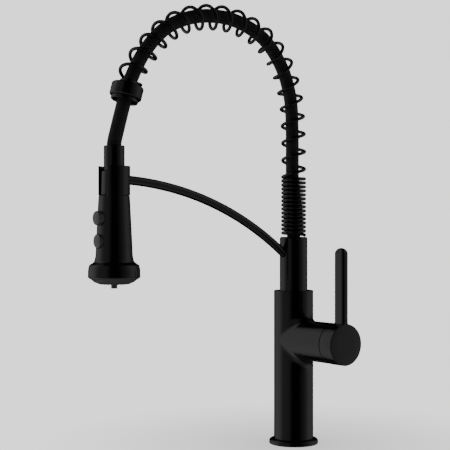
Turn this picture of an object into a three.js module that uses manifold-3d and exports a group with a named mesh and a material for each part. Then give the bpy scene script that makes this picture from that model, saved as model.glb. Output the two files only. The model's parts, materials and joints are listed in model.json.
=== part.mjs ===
// Commercial-style kitchen faucet: a turned base, a side valve with a lever, and a hose inside an
// open spring that carries a pull-down spray head, docked in a ring on a curved arm.
// Millimetres, +Z up. Origin: centre of the underside of the base, on the deck.
// The spout points along -Y, and the valve arm with its lever along +X.

import * as THREE from 'three';
import { mergeVertices } from 'three/addons/utils/BufferGeometryUtils.js';
import Module from 'manifold-3d';

const wasm = await Module();
wasm.setup();

// ---------------------------------------------------------------- driving dimensions

const GAP = 0.3; // space kept between two pieces that touch
const SWIVEL_GAP = 0.45; // radial play of pieces that turn in each other
const SIDES = 16; // facets of internal turned pieces
const FINE_SIDES = 32; // facets of outer turned pieces

// hose, spring and riser; each one is sized to pass over the one before
const HOSE_RADIUS = 7.75;
const HOSE_BORE = 4.8;
const BARB_RADIUS = HOSE_BORE - 3 * GAP;
const BARB_LENGTH = 14.4;
const WIRE_RADIUS = 1.9;
const COIL_RADIUS = HOSE_RADIUS + 3.3 + WIRE_RADIUS; // to the middle of the wire
const TIGHT_LENGTH = 68.2;
const TIGHT_PITCH = 2 * WIRE_RADIUS + 0.876;
const OPEN_PITCH = 20.3;
const SPRING_START = 0.12; // where the wire begins, as a share of a turn
const SEAT_HEIGHT = 9.5;
const RISER_RADIUS = COIL_RADIUS + WIRE_RADIUS + 1.45;
const RISER_WALL = 3.1;
const RISER_TOP = 241;
const RISER_CHAMFER = 1.4;
const RISER_SOCKET = 27.7; // length of the riser inside the body
const RISER_FOOT_RING = 3.7; // height of the ring that keeps the riser in the body
const ORING_SECTION = 0.65;
const ORING_SPACE = 1.7;
const ORING_GROOVE = 1.4; // depth of an O-ring's groove
const ORING_SEAT = 0.55; // from a spigot's surface in to the middle of its O-ring
const WASHER_RADIUS = 12.4;
const WASHER_HEIGHT = 0.8;
const COUPLING_RADIUS = 8.3;
const COUPLING_BORE = 3;
const COUPLING_FLANGE = 3.6; // thickness

// base flange and body
const BODY_RADIUS = RISER_RADIUS + 6.6; // of the upright and of the side arm
const BODY_WALL = 3.35;
const BODY_TOP = 178.7;
const BODY_LID = 7.7;
const BODY_EDGE = 0.5;
const ARM_CHAMFER = 0.7;
const TEE_FILLET = 13; // where the side arm leaves the upright
const FLANGE_RADIUS = BODY_RADIUS + 5.6;
const FLANGE_HEIGHT = 6;
const FLANGE_ROUND = 2.7;
const SEAL_WIDTH = 2.2;
const SEAL_HEIGHT = 1.6;
const SEAL_INSET = 2.6;
const INSERT_HEIGHT = 14;
const INLET_SPACING = 8.5;
const STUD_RADIUS = 3;
const STUD_OFFSET = 11.5;
const SUPPLY_RADIUS = 3.6;
const SUPPLY_BORE = 2.4;
const SUPPLY_FOOT = 1.5;

// valve arm, cartridge and lever; places along the arm are measured from the lever's pivot
const ARM_Z = 121.9;
const ARM_END = 71.2;
const PIVOT_INSET = 10.2; // pivot of the lever, inside the arm's end
const HOUSING_WALL = 4.2;
const INLET_BOSS_RADIUS = 11;
const INLET_BOSS_DROP = 22;
const OUTLET_BOSS_RADIUS = 12;
const OUTLET_BOSS_RISE = 28;
const CARTRIDGE_LENGTH = 31.7;
const CARTRIDGE_FRONT = 7.7;
const CARTRIDGE_WALL = 2.5;
const CARTRIDGE_FLOOR = 3.9;
const CASE_LIP = 2.3;
const DISC_THICKNESS = 2.7;
const CARRIER_THICKNESS = 5;
const STEM_RADIUS = 3.4;
const BALL_RADIUS = 2.6;
const BALL_NECK = 1.9;
const PIN_RADIUS = 1.4;
const PORT_CIRCLE = 6.5;
const PORT_RADIUS = 2.3;
const HUB_RADIUS = BODY_RADIUS + 0.3;
const HUB_FACE_DEPTH = 4.04; // solid part of the hub in front of its hollow
const HUB_EDGE = 0.6;
const HUB_BOSS = 6.5;
const HUB_BOSS_BACK = 14;
const HUB_TILT = 20; // degrees that the lever tips outward
const DOME_WALL = 2.3;
const LEVER_TOP = 229.4;
const LEVER_WIDTH = 15.4;
const LEVER_THICKNESS = 9;
const LEVER_CORNER = 3.2;
const LEVER_DOME = 6.8; // height of the bar's rounded end
const CAP_THICKNESS = 1.7;
const CAP_INSET = 1.2;
const SCREW_RADIUS = 1.9;
const SCREW_HEAD = 3.7;
const SCREW_HEAD_DEPTH = 2.6;
const SCREW_SOCKET = 1.6;

// arch and dock
const REACH = 244; // body axis to spray axis
const ARCH_TOP = 485.3; // middle of the coil at its highest point
const COLLAR_SLOPE = 0.287; // of the end collar's axis: share of the reach over share of the arch's height
const COLLAR_RADIUS = COIL_RADIUS + WIRE_RADIUS + 2.5;
const COLLAR_LENGTH = 14;
const COLLAR_CHAMFER = 1.1;
const END_RING_RADIUS = COLLAR_RADIUS - 2.6;
const END_RING_LENGTH = 3.8;
const END_RING_WALL = 3.4;
const ARM_ROD_RADIUS = 4.85;
const ARM_BEND = 379; // radius of the dock arm's centre line
const ARM_ROOT_Z = 222.6;
const ARM_ROOT_DEPTH = 9; // length of the arm's rod that starts inside the riser, before trimming
const DOCK_Z = 301.1; // middle of the dock ring
const DOCK_HEIGHT = 30.6;
const DOCK_WALL = 2.55;
const DOCK_OPENING = 35; // half angle of the ring's open front, degrees
const DOCK_SCREW = 1.9;
const DOCK_SCREW_HEAD = 3.5;
const DOCK_SCREW_SINK = 1.3;
const DOCK_SCREW_Z = DOCK_Z + 1.1;

// spray head; heights are measured from the dock ring's lower edge
const NECK_RADIUS = HOSE_RADIUS + 3.15;
const NECK_TOP = 52;
const NUT_SOCKET = 9; // depth that the hose enters the swivel nut
const NIPPLE_RADIUS = 5.9;
const NIPPLE_BORE = 2.8;
const NIPPLE_BOTTOM = 15;
const BODY_NECK_RADIUS = 9;
const DOCK_COLLAR_RADIUS = NECK_RADIUS + 2.9;
const DOCK_COLLAR_BOTTOM = 0.6;
const DOCK_COLLAR_DROP = 5.1; // from the dock ring's upper edge down to the collar's top
const SPRAY_WALL = 2.6;
const SPRAY_LENGTH = 93.1;
const SPRAY_STEP = 2.45; // from the docking collar out to the spray body
const GRIP_FLARE = 1.25; // gain in the grip's radius over the first FLARE_DROP of its length
const FLARE_DROP = 22;
const FLARE_POWER = 0.9;
const BELL_RADIUS = DOCK_COLLAR_RADIUS + 13.6;
const BELL_HEIGHT = 22.1;
const FACE_DEPTH = 7.8; // of the dish under the bell
const NOZZLE_RADIUS = 3.3;
const NOZZLE_BORE = 1.7;
const NOZZLE_LENGTH = 4.1; // below the face
const NOZZLE_FLANGE = 1.8;
const BUTTON_RADIUS = 7.5;
const BUTTON_EDGE = 1.2;
const BUTTON_BACK = 10.4; // from the spray's axis to the buttons' back faces
const UPPER_BUTTON_DROP = 23.8;
const LOWER_BUTTON_DROP = 47.7;
const UPPER_STAND = 5.3; // how far each button stands out of the grip
const LOWER_STAND = 3.2;
const ROCKER_THICKNESS = 1.8;
const ROCKER_WIDTH = 8;
const ROCKER_PAD = 1.3; // height of the pads that touch the buttons
const ROCKER_HUB = 2.4;
const ROCKER_PIN = 1.2;
const POST_WIDTH = 2.2;
const BLOCK_HEIGHT = 10;
const BLOCK_RISE = 14; // of the diverter block's top above the bell
const TUBE_RADIUS = 4.2;
const TUBE_BORE = 2.6;

// ---------------------------------------------------------------- places that follow from them

const bodyBore = BODY_RADIUS - BODY_WALL;
const pivotX = ARM_END - PIVOT_INSET;
const riserBore = RISER_RADIUS - RISER_WALL;
const riserFoot = BODY_TOP - RISER_SOCKET;
const dockBottom = DOCK_Z - DOCK_HEIGHT / 2;
const dockInner = DOCK_COLLAR_RADIUS + GAP;
const dockOuter = dockInner + DOCK_WALL;
const armCorner = Math.hypot(PIVOT_INSET - ARM_CHAMFER, BODY_RADIUS);
const hubSphere = armCorner + 0.9 * GAP;
const hubFront = hubSphere + HUB_FACE_DEPTH; // from the pivot
const radians = THREE.MathUtils.degToRad;

/** Evenly spaced values from low to high. */
const fan = (low, high, steps) => Array.from({ length: steps + 1 }, (_, i) => low + ((high - low) * i) / steps);

// ---------------------------------------------------------------- solids

/** Keeps only positions, shares vertices, drops empty triangles and turns the faces outward. */
function closed(geometry) {
  geometry.deleteAttribute('normal');
  geometry.deleteAttribute('uv');
  const merged = mergeVertices(geometry, 1e-4);
  const position = merged.getAttribute('position');
  const corners = [0, 1, 2].map(() => new THREE.Vector3());
  const triangles = [];
  let volume = 0;
  for (let i = 0; i < merged.index.count; i += 3) {
    const ids = [0, 1, 2].map((k) => merged.index.getX(i + k));
    if (new Set(ids).size === 3) {
      corners.forEach((corner, k) => corner.fromBufferAttribute(position, ids[k]));
      volume += corners[0].dot(corners[1].clone().cross(corners[2]));
      triangles.push(ids);
    }
  }
  if (volume < 0) triangles.forEach((ids) => ids.reverse());
  const result = new THREE.BufferGeometry();
  result.setAttribute('position', position);
  result.setIndex(triangles.flat());
  return result;
}

function toManifold(geometry) {
  return new wasm.Manifold(new wasm.Mesh({
    numProp: 3,
    vertProperties: new Float32Array(geometry.getAttribute('position').array),
    triVerts: new Uint32Array(geometry.index.array),
  }));
}

function fromManifold(manifold) {
  const mesh = manifold.getMesh();
  const geometry = new THREE.BufferGeometry();
  geometry.setAttribute('position', new THREE.BufferAttribute(mesh.vertProperties, 3));
  geometry.setIndex(Array.from(mesh.triVerts));
  return geometry;
}

function join(first, ...others) {
  return fromManifold(others.reduce((sum, part) => sum.add(toManifold(part)), toManifold(first)));
}

function cut(first, ...others) {
  return fromManifold(others.reduce((rest, part) => rest.subtract(toManifold(part)), toManifold(first)));
}

/** Turns an outline of [radius, height] points about Z. */
function turned(outline, sides = SIDES) {
  const points = outline.map(([radius, height]) => new THREE.Vector2(radius, height));
  const onAxis = outline[0][0] === 0 && outline[outline.length - 1][0] === 0;
  if (!onAxis) points.push(points[0].clone());
  return closed(new THREE.LatheGeometry(points, sides).rotateX(Math.PI / 2));
}

function rod(radius, bottom, top, sides = SIDES) {
  return turned([[0, bottom], [radius, bottom], [radius, top], [0, top]], sides);
}

function tube(outer, inner, bottom, top, sides = SIDES) {
  return turned([[inner, bottom], [outer, bottom], [outer, top], [inner, top]], sides);
}

function box(x, y, z) {
  const [width, depth, height] = [x, y, z].map(([low, high]) => high - low);
  const geometry = new THREE.BoxGeometry(width, depth, height);
  return closed(geometry.translate((x[0] + x[1]) / 2, (y[0] + y[1]) / 2, (z[0] + z[1]) / 2));
}

/** Points of an arc of the outline plane: centre, radius, and start and end angles in degrees. */
function arc(radius, [centreX, centreY], start, end, steps) {
  return Array.from({ length: steps + 1 }, (_, i) => {
    const angle = radians(start + ((end - start) * i) / steps);
    return [centreX + radius * Math.cos(angle), centreY + radius * Math.sin(angle)];
  });
}

function oRing(radius, height, section, sides = SIDES) {
  return turned(arc(section, [radius, height], 0, 300, 5), sides);
}

/** A round section swept along a curve, with a bore when its radius is given. */
function swept(curve, radius, sides, steps, bore = 0) {
  const ring = (r) => arc(r, [0, 0], 0, 360 - 360 / sides, sides - 1).map((p) => new THREE.Vector2(...p));
  const section = new THREE.Shape(ring(radius));
  if (bore > 0) section.holes.push(new THREE.Path(ring(bore)));
  return closed(new THREE.ExtrudeGeometry(section, { extrudePath: curve, steps }));
}

// ---------------------------------------------------------------- materials

const finish = (color, roughness, metalness) => new THREE.MeshStandardMaterial({ color, roughness, metalness });
const blackMetal = () => finish(0x151516, 0.42, 0.35);
const blackPlastic = () => finish(0x18181a, 0.55, 0);
const rubber = () => finish(0x101010, 0.85, 0);
const brass = () => finish(0xb08d4c, 0.35, 1);
const copper = () => finish(0xb4734a, 0.35, 1);
const steel = () => finish(0xa8a9ab, 0.3, 1);
const acetal = () => finish(0xe6e4dc, 0.5, 0);
const ceramic = () => finish(0xf2efe8, 0.2, 0);
const braid = () => finish(0x1c1c1f, 0.75, 0);

function piece(parent, name, geometry, material) {
  const mesh = new THREE.Mesh(geometry, material);
  mesh.name = name;
  parent.add(mesh);
  return mesh;
}

// ---------------------------------------------------------------- base and body

function baseFlange() {
  const foot = 1;
  const upper = arc(FLANGE_ROUND, [FLANGE_RADIUS - FLANGE_ROUND, FLANGE_HEIGHT - FLANGE_ROUND], 0, 90, 4);
  const ring = turned([
    [bodyBore, 0], [FLANGE_RADIUS - foot, 0], [FLANGE_RADIUS, foot], ...upper, [bodyBore, FLANGE_HEIGHT],
  ], FINE_SIDES);
  return cut(ring, tube(sealOuter + GAP, sealOuter - SEAL_WIDTH - GAP, -1, SEAL_HEIGHT + GAP, FINE_SIDES));
}

const sealOuter = FLANGE_RADIUS - SEAL_INSET;

function baseSeal() {
  return tube(sealOuter, sealOuter - SEAL_WIDTH, 0, SEAL_HEIGHT, FINE_SIDES);
}

/** Brass plug screwed into the body's foot, with two inlets and the threaded hole of a fixing stud. */
function baseInsert() {
  const studHole = rod(STUD_RADIUS, -1, INSERT_HEIGHT - 4, 12).translate(STUD_OFFSET, 0, 0);
  const inlets = [-1, 1].map((side) => rod(SUPPLY_RADIUS + GAP, -1, INSERT_HEIGHT + 1, 12)
    .translate(0, side * INLET_SPACING, 0));
  return cut(rod(bodyBore - GAP, 0, INSERT_HEIGHT), studHole, ...inlets);
}

/** Joins rows of points, each running the same way, into a strip of triangles. */
function strip(rows, flip) {
  const corners = [];
  for (let i = 1; i < rows.length; i += 1) {
    for (let j = 1; j < rows[i].length; j += 1) {
      const [a, b, c, d] = [rows[i - 1][j - 1], rows[i - 1][j], rows[i][j], rows[i][j - 1]];
      corners.push(...(flip ? [a, c, b, a, d, c] : [a, b, c, a, c, d]));
    }
  }
  return corners;
}

/**
 * Solid upright with a side arm of the same radius, and a rolling-ball fillet between them.
 * The ball's centre follows the crossing of both cylinders grown by the fillet's radius.
 */
function filletedTee() {
  const r = BODY_RADIUS;
  const reach = r + TEE_FILLET;
  const around = fan(-Math.PI, Math.PI, FINE_SIDES);
  const front = fan(-Math.PI / 2, Math.PI / 2, FINE_SIDES / 2);
  const ring = (radius, height) => around.map((a) => new THREE.Vector3(
    radius * Math.cos(a), radius * Math.sin(a), height,
  ));
  const corners = [];
  for (const side of [1, -1]) {
    const end = side > 0 ? BODY_TOP : FLANGE_HEIGHT + GAP;
    const crossing = around.map((a) => new THREE.Vector3(
      r * Math.cos(a), r * Math.sin(a), ARM_Z + side * reach * Math.max(Math.cos(a), 0),
    ));
    const upright = [crossing, ring(r, end - side * BODY_EDGE), ring(r - BODY_EDGE, end), ring(0, end)];
    corners.push(...strip(upright, side < 0));
    const fillet = fan(0, 1, 4).map((w) => front.map((t) => {
      const centre = new THREE.Vector3(reach * Math.cos(t), reach * Math.sin(t), side * reach * Math.cos(t));
      const toUpright = new THREE.Vector3(-Math.cos(t), -Math.sin(t), 0);
      const toArm = new THREE.Vector3(0, -Math.sin(t), -side * Math.cos(t));
      const turn = toUpright.angleTo(toArm);
      const [first, second] = turn < 1e-6 ? [1 - w, w]
        : [Math.sin((1 - w) * turn) / Math.sin(turn), Math.sin(w * turn) / Math.sin(turn)];
      return centre.addScaledVector(toUpright, TEE_FILLET * first).addScaledVector(toArm, TEE_FILLET * second)
        .add(new THREE.Vector3(0, 0, ARM_Z));
    }));
    const armRow = (radius, x) => front.map((t) => new THREE.Vector3(
      x ?? reach * Math.cos(t), radius * Math.sin(t), ARM_Z + side * radius * Math.cos(t),
    ));
    const arm = [
      armRow(r), armRow(r, ARM_END - ARM_CHAMFER), armRow(r - ARM_CHAMFER, ARM_END), armRow(0, ARM_END),
    ];
    corners.push(...strip(fillet, side > 0), ...strip(arm, side > 0));
  }
  return closed(new THREE.BufferGeometry().setFromPoints(corners));
}

/** Upright tube with a closed top and a side arm, both hollow. */
function bodyShell() {
  const armCavity = rod(bodyBore, 0, ARM_END + 1).rotateY(Math.PI / 2).translate(0, 0, ARM_Z);
  const groove = riserOringHeight;
  return cut(
    filletedTee(),
    rod(bodyBore, 0, BODY_TOP - BODY_LID),
    rod(RISER_RADIUS + GAP, BODY_TOP - BODY_LID - 1, BODY_TOP + 1, FINE_SIDES),
    rod(RISER_RADIUS + ORING_SPACE, groove - ORING_SECTION - GAP, groove + ORING_SECTION + GAP, FINE_SIDES),
    armCavity,
  );
}

const riserOringHeight = BODY_TOP - BODY_LID / 2;

/** Tubes from the base inlets up to the valve housing; side is -1 or 1. */
function supplyTube(side) {
  const top = ARM_Z - INLET_BOSS_DROP - GAP;
  const route = new THREE.CatmullRomCurve3([
    [INLET_SPACING, SUPPLY_FOOT], [INLET_SPACING, INSERT_HEIGHT + 8],
    [(INLET_SPACING + inletSpread) / 2, top / 2],
    [inletSpread, top - 20], [inletSpread, top],
  ].map(([y, z]) => new THREE.Vector3(0, side * y, z)));
  return swept(route, SUPPLY_RADIUS, 8, 7, SUPPLY_BORE);
}

const inletSpread = PORT_CIRCLE * Math.sin(radians(60));
const inletDrop = PORT_CIRCLE * Math.cos(radians(60));

// ---------------------------------------------------------------- valve
// These pieces are drawn in the valve's own frame: Z runs out along the arm from the lever's
// pivot, and X points down to the deck.

const caseRadius = bodyBore - GAP - HOUSING_WALL - GAP;
const caseBore = caseRadius - CARTRIDGE_WALL;
const baseBack = CARTRIDGE_FRONT - CARTRIDGE_LENGTH;
const baseFront = baseBack + CARTRIDGE_FLOOR;
const fixedBack = baseFront + GAP;
const fixedFront = fixedBack + DISC_THICKNESS;
const movingBack = fixedFront + GAP;
const movingFront = movingBack + DISC_THICKNESS;
const carrierFront = movingFront + GAP + CARRIER_THICKNESS;
const pocketFloor = movingFront + GAP + 0.7;
const stemTail = -(pocketFloor + GAP + BALL_RADIUS); // from the pivot back to the ball's centre
const rotorBack = carrierFront + GAP;
const rotorFront = CARTRIDGE_FRONT - 2 - GAP;
const movingRadius = caseBore - stemTail * radians(HUB_TILT) - 2 * GAP; // leaves room for its slide

function ports(bottom, top) {
  const places = [[inletDrop, inletSpread], [inletDrop, -inletSpread], [-PORT_CIRCLE, 0]];
  return places.map(([x, y]) => rod(PORT_RADIUS, bottom, top, 12).translate(x, y, 0));
}

/** Cast brass housing: cartridge bore, two inlet channels from below and an outlet channel upward. */
function valveHousing() {
  const back = -pivotX;
  const upright = (radius, bottom, top, y = 0) => rod(radius, bottom, top, 20)
    .rotateY(Math.PI / 2).translate(0, y, back);
  const barrel = join(
    rod(bodyBore - GAP, baseBack - 6, PIVOT_INSET + 0.8),
    rod(bodyBore - 2, back - 7, baseBack - 5),
    upright(INLET_BOSS_RADIUS, -2, INLET_BOSS_DROP),
    upright(OUTLET_BOSS_RADIUS, -OUTLET_BOSS_RISE, 2),
  );
  const channel = PORT_RADIUS;
  return cut(
    barrel,
    rod(caseRadius + GAP, baseBack - GAP, PIVOT_INSET + 2),
    ...ports(back - 1, baseBack + 1),
    upright(channel, inletDrop - 1, INLET_BOSS_DROP + 1, inletSpread),
    upright(channel, inletDrop - 1, INLET_BOSS_DROP + 1, -inletSpread),
    upright(channel, couplingFoot - 1, 1 - PORT_CIRCLE),
    upright(COUPLING_RADIUS + GAP, -OUTLET_BOSS_RISE - 1, couplingFoot + GAP),
  );
}

const couplingFoot = 13 - OUTLET_BOSS_RISE;

function cartridgeBase() {
  return cut(rod(caseRadius, baseBack, baseFront), ...ports(baseBack - 1, baseFront + 1));
}

function fixedDisc() {
  return cut(rod(caseBore - GAP, fixedBack, fixedFront), ...ports(fixedBack - 1, fixedFront + 1));
}

function cartridgeCase() {
  return turned([
    [caseBore, fixedBack], [caseRadius, fixedBack], [caseRadius, CARTRIDGE_FRONT],
    [caseBore - CASE_LIP, CARTRIDGE_FRONT], [caseBore - CASE_LIP, rotorFront + GAP],
    [caseBore, rotorFront + GAP],
  ]);
}

/** Threaded ring that holds the cartridge, with four spanner notches. */
function cartridgeNut() {
  const inner = caseRadius - 2.1;
  const nut = tube(caseRadius, inner, CARTRIDGE_FRONT + GAP, PIVOT_INSET + 0.7);
  const notch = () => box([inner - 1, inner + 1], [-1.5, 1.5], [PIVOT_INSET - 0.5, PIVOT_INSET + 2]);
  return cut(nut, ...[0, 1, 2, 3].map((quarter) => notch().rotateZ((quarter * Math.PI) / 2)));
}

function movingDisc() {
  const waterway = box([-5, 2], [-3, 3], [movingBack - 1, movingBack + 1.4]);
  return cut(rod(movingRadius, movingBack, movingFront), waterway);
}

function discCarrier() {
  const pocket = rod(BALL_RADIUS + GAP, pocketFloor, carrierFront + 1);
  return cut(rod(movingRadius, movingFront + GAP, carrierFront), pocket);
}

function cartridgeRotor() {
  const slot = box([-8.4, 8.4], [-STEM_RADIUS - GAP, STEM_RADIUS + GAP], [rotorBack - 1, rotorFront + 1]);
  const pinHole = rod(PIN_RADIUS + GAP, -20, 20, 12).rotateX(Math.PI / 2);
  return cut(rod(caseBore - GAP, rotorBack, rotorFront), slot, pinHole);
}

function stemPin() {
  return rod(PIN_RADIUS, -caseBore + 1, caseBore - 1, 12).rotateX(Math.PI / 2);
}

/** Stem with a ball tail that moves the disc, a pivot hole and a threaded end for the lever's screw. */
function stem() {
  const tip = stemFront;
  const outline = [
    [0, -stemTail - BALL_RADIUS], ...arc(BALL_RADIUS, [0, -stemTail], -60, 40, 5),
    [BALL_NECK, -stemTail + 2.2], [BALL_NECK, -6], [STEM_RADIUS, -4.5], [STEM_RADIUS, tip - 0.4],
    [STEM_RADIUS - 0.4, tip], [0, tip],
  ];
  const pinHole = rod(PIN_RADIUS + GAP, -20, 20, 12).rotateX(Math.PI / 2);
  return cut(turned(outline, 16), pinHole, rod(SCREW_RADIUS + GAP, tip - 9, tip + 1, 12));
}

const capRadius = HUB_RADIUS - CAP_INSET;
const capSeat = hubFront - CAP_THICKNESS - GAP;
const screwSeat = capSeat - SCREW_HEAD_DEPTH;
const stemFront = screwSeat - 2.6;
const domeSphere = hubSphere - GAP;

/** Fixed dome over the cartridge, that the lever's hollow hub turns and tips on. */
function bonnetDome() {
  const foot = PIVOT_INSET + GAP;
  const hole = HUB_TILT + THREE.MathUtils.radToDeg(Math.asin(HUB_BOSS / domeSphere)) + 2;
  const edge = (sphere) => THREE.MathUtils.radToDeg(Math.acos(foot / sphere));
  const point = ([z, r]) => [r, z];
  return turned([
    ...arc(domeSphere, [0, 0], edge(domeSphere), hole, 6).map(point),
    ...arc(domeSphere - DOME_WALL, [0, 0], hole, edge(domeSphere - DOME_WALL), 5).map(point),
  ], SIDES * 2);
}

/** Lever: a hollow hub, and a flat bar with a round end that stands up from it, in one casting. */
function leverHandle() {
  const back = PIVOT_INSET + 0.75;
  const angle = (z) => THREE.MathUtils.radToDeg(Math.acos(z / hubSphere));
  const bossAngle = THREE.MathUtils.radToDeg(Math.asin(HUB_BOSS / hubSphere));
  const socket = STEM_RADIUS + GAP;
  const head = SCREW_HEAD + GAP;
  const recess = capRadius + GAP;
  const hub = turned([
    [socket, HUB_BOSS_BACK], [HUB_BOSS, HUB_BOSS_BACK],
    ...arc(hubSphere, [0, 0], bossAngle, angle(back), 8).map(([z, r]) => [r, z]),
    [HUB_RADIUS, back], [HUB_RADIUS, hubFront - HUB_EDGE], [HUB_RADIUS - HUB_EDGE, hubFront],
    [recess, hubFront], [recess, capSeat], [head, capSeat], [head, screwSeat],
    [SCREW_RADIUS + GAP, screwSeat], [SCREW_RADIUS + GAP, stemFront + GAP], [socket, stemFront + GAP],
  ], 32);
  return cut(join(hub, leverBar()), rod(recess, capSeat, hubFront + 1, 32));
}

/** The lever's bar: a rounded rectangle that stands on the hub, flush with its face, under a domed end. */
function leverBar() {
  const root = HUB_RADIUS - 1.5;
  const shoulder = LEVER_TOP - ARM_Z - LEVER_DOME;
  const x = LEVER_WIDTH / 2 - LEVER_CORNER;
  const y = LEVER_THICKNESS / 2 - LEVER_CORNER;
  const section = [[x, y], [-x, y], [-x, -y], [x, -y]].flatMap(
    (centre, quarter) => arc(LEVER_CORNER, centre, 90 * quarter, 90 * quarter + 90, 2),
  );
  const row = (scale, height) => [...section, section[0]].map(([px, py]) => new THREE.Vector3(
    hubFront - LEVER_WIDTH / 2 + scale * px, scale * py, height,
  ));
  const dome = fan(0, Math.PI / 2, 5).map((a) => row(Math.cos(a), shoulder + LEVER_DOME * Math.sin(a)));
  const rows = [row(0, root), row(1, root), ...dome];
  const bar = closed(new THREE.BufferGeometry().setFromPoints(strip(rows, false)));
  // drawn upright along the arm, then turned into the valve's frame
  return bar.rotateY(-Math.PI / 2);
}

function handleCap() {
  const front = hubFront;
  return turned([
    [0, capSeat + GAP], [capRadius, capSeat + GAP], [capRadius, front - 0.3], [capRadius - 0.3, front],
    [0, front],
  ], 32);
}

function handleScrew() {
  const head = rod(SCREW_HEAD, screwSeat + GAP, capSeat - GAP, 16);
  const shank = rod(SCREW_RADIUS, stemFront - 8, screwSeat + 1, 12);
  const socket = rod(SCREW_SOCKET, screwSeat + 1.2, capSeat + 1, 6);
  return cut(join(head, shank), socket);
}

// ---------------------------------------------------------------- riser and hose coupling

const bushingBottom = riserFoot + RISER_FOOT_RING + GAP;
const outletTop = ARM_Z + OUTLET_BOSS_RISE;
const washerBottom = outletTop + GAP;
const couplingFlange = washerBottom + WASHER_HEIGHT + GAP;

function riserTube() {
  const foot = bodyBore - SWIVEL_GAP;
  const sleeve = turned([
    [riserBore, riserFoot], [foot, riserFoot], [foot, riserFoot + RISER_FOOT_RING],
    [RISER_RADIUS, riserFoot + RISER_FOOT_RING], [RISER_RADIUS, RISER_TOP - RISER_CHAMFER],
    [RISER_RADIUS - RISER_CHAMFER, RISER_TOP], [riserBore, RISER_TOP],
  ], FINE_SIDES);
  return cut(sleeve, swept(dockArmCurve(), ARM_ROD_RADIUS + GAP, 16, 16));
}

function riserBushing() {
  return tube(bodyBore - GAP, RISER_RADIUS + SWIVEL_GAP, bushingBottom, BODY_TOP - BODY_LID - GAP);
}

function riserOring() {
  return oRing(RISER_RADIUS + ORING_SPACE / 2, riserOringHeight, ORING_SECTION, FINE_SIDES);
}

function swivelWasher() {
  return tube(WASHER_RADIUS, COUPLING_RADIUS + SWIVEL_GAP, washerBottom, washerBottom + WASHER_HEIGHT);
}

const couplingBottom = ARM_Z - couplingFoot;
const grooveHeights = [couplingBottom + 3.2, couplingBottom + 8.2];

/** Brass spigot that turns in the valve's outlet and carries the hose on its barb. */
function hoseCoupling() {
  const groove = COUPLING_RADIUS - ORING_GROOVE;
  const half = ORING_SECTION + GAP;
  const grooves = grooveHeights.flatMap((z) => [
    [COUPLING_RADIUS, z - half], [groove, z - half], [groove, z + half], [COUPLING_RADIUS, z + half],
  ]);
  return turned([
    [COUPLING_BORE, couplingBottom], [COUPLING_RADIUS, couplingBottom], ...grooves,
    [COUPLING_RADIUS, couplingFlange], [riserBore - GAP, couplingFlange], [riserBore - GAP, barbFoot],
    [BARB_RADIUS, barbFoot], [BARB_RADIUS, barbFoot + BARB_LENGTH], [COUPLING_BORE, barbFoot + BARB_LENGTH],
  ]);
}

const barbFoot = couplingFlange + COUPLING_FLANGE;
const hoseFoot = barbFoot + GAP;

function couplingOring(height) {
  return oRing(COUPLING_RADIUS - ORING_SEAT, height, ORING_SECTION);
}

function springSeat() {
  const top = RISER_TOP - GAP;
  return tube(riserBore - GAP, HOSE_RADIUS + 0.8, top - SEAT_HEIGHT, top);
}

// ---------------------------------------------------------------- spring and hose
// The spout's plane is the YZ plane. Routes are given as shares of the reach and of the arch's
// height above the riser, so that the arch keeps its shape when either changes.

const archHeight = ARCH_TOP - RISER_TOP;
const inSpoutPlane = (across, up) => new THREE.Vector3(0, -across, up);
const onArch = ([across, up]) => inSpoutPlane(across * REACH, RISER_TOP + up * archHeight);

const HOSE_ARCH = [
  [0.008, 0.31], [0.009, 0.51], [0.021, 0.662], [0.074, 0.805], [0.18, 0.926], [0.33, 0.993],
  [0.467, 1.006], [0.612, 0.983], [0.742, 0.92], [0.855, 0.799],
];
const COIL_ARCH = [
  [0, 0.3], [0.002, 0.508], [0.018, 0.66], [0.071, 0.803], [0.178, 0.921], [0.329, 0.987],
  [0.467, 1], [0.611, 0.977], [0.739, 0.912], [0.853, 0.796],
];

const collarCentre = onArch([0.938, 0.632]);
const collarTilt = Math.atan2(COLLAR_SLOPE * REACH, archHeight); // from vertical
const collarAxis = inSpoutPlane(Math.sin(collarTilt), -Math.cos(collarTilt));
const alongCollar = (distance) => collarCentre.clone().addScaledVector(collarAxis, distance);

function coilAxis() {
  const end = alongCollar(-COLLAR_LENGTH / 2 - WIRE_RADIUS - 3 * GAP);
  const start = inSpoutPlane(0, RISER_TOP + GAP + WIRE_RADIUS);
  const route = [start, ...COIL_ARCH.map(onArch), end.clone().addScaledVector(collarAxis, -8), end];
  return new THREE.CatmullRomCurve3(route);
}

const tightTurns = TIGHT_LENGTH / TIGHT_PITCH;

/** The wire's centre line: close turns on the riser, then open turns over the arch. */
class SpringCurve extends THREE.Curve {
  constructor(stepsPerTurn) {
    super();
    this.axis = coilAxis();
    this.axis.arcLengthDivisions = 600;
    this.length = this.axis.getLength();
    this.turns = tightTurns + (this.length - TIGHT_LENGTH) / OPEN_PITCH;
    this.steps = Math.round(this.turns * stepsPerTurn);
  }

  getPoint(t) {
    const turn = t * this.turns;
    const along = Math.min(turn, tightTurns) * TIGHT_PITCH + Math.max(0, turn - tightTurns) * OPEN_PITCH;
    const u = Math.min(along / this.length, 1);
    const tangent = this.axis.getTangentAt(u);
    const side = new THREE.Vector3(1, 0, 0);
    const front = new THREE.Vector3().crossVectors(tangent, side).normalize();
    const angle = 2 * Math.PI * (turn + SPRING_START);
    return this.axis.getPointAt(u)
      .addScaledVector(side, COIL_RADIUS * Math.cos(angle))
      .addScaledVector(front, COIL_RADIUS * Math.sin(angle));
  }

  // equal steps of turn, not of length
  getPointAt(t) {
    return this.getPoint(t);
  }

  getTangentAt(t) {
    return this.getTangent(t);
  }

  getSpacedPoints(divisions) {
    return this.getPoints(divisions);
  }
}

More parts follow.
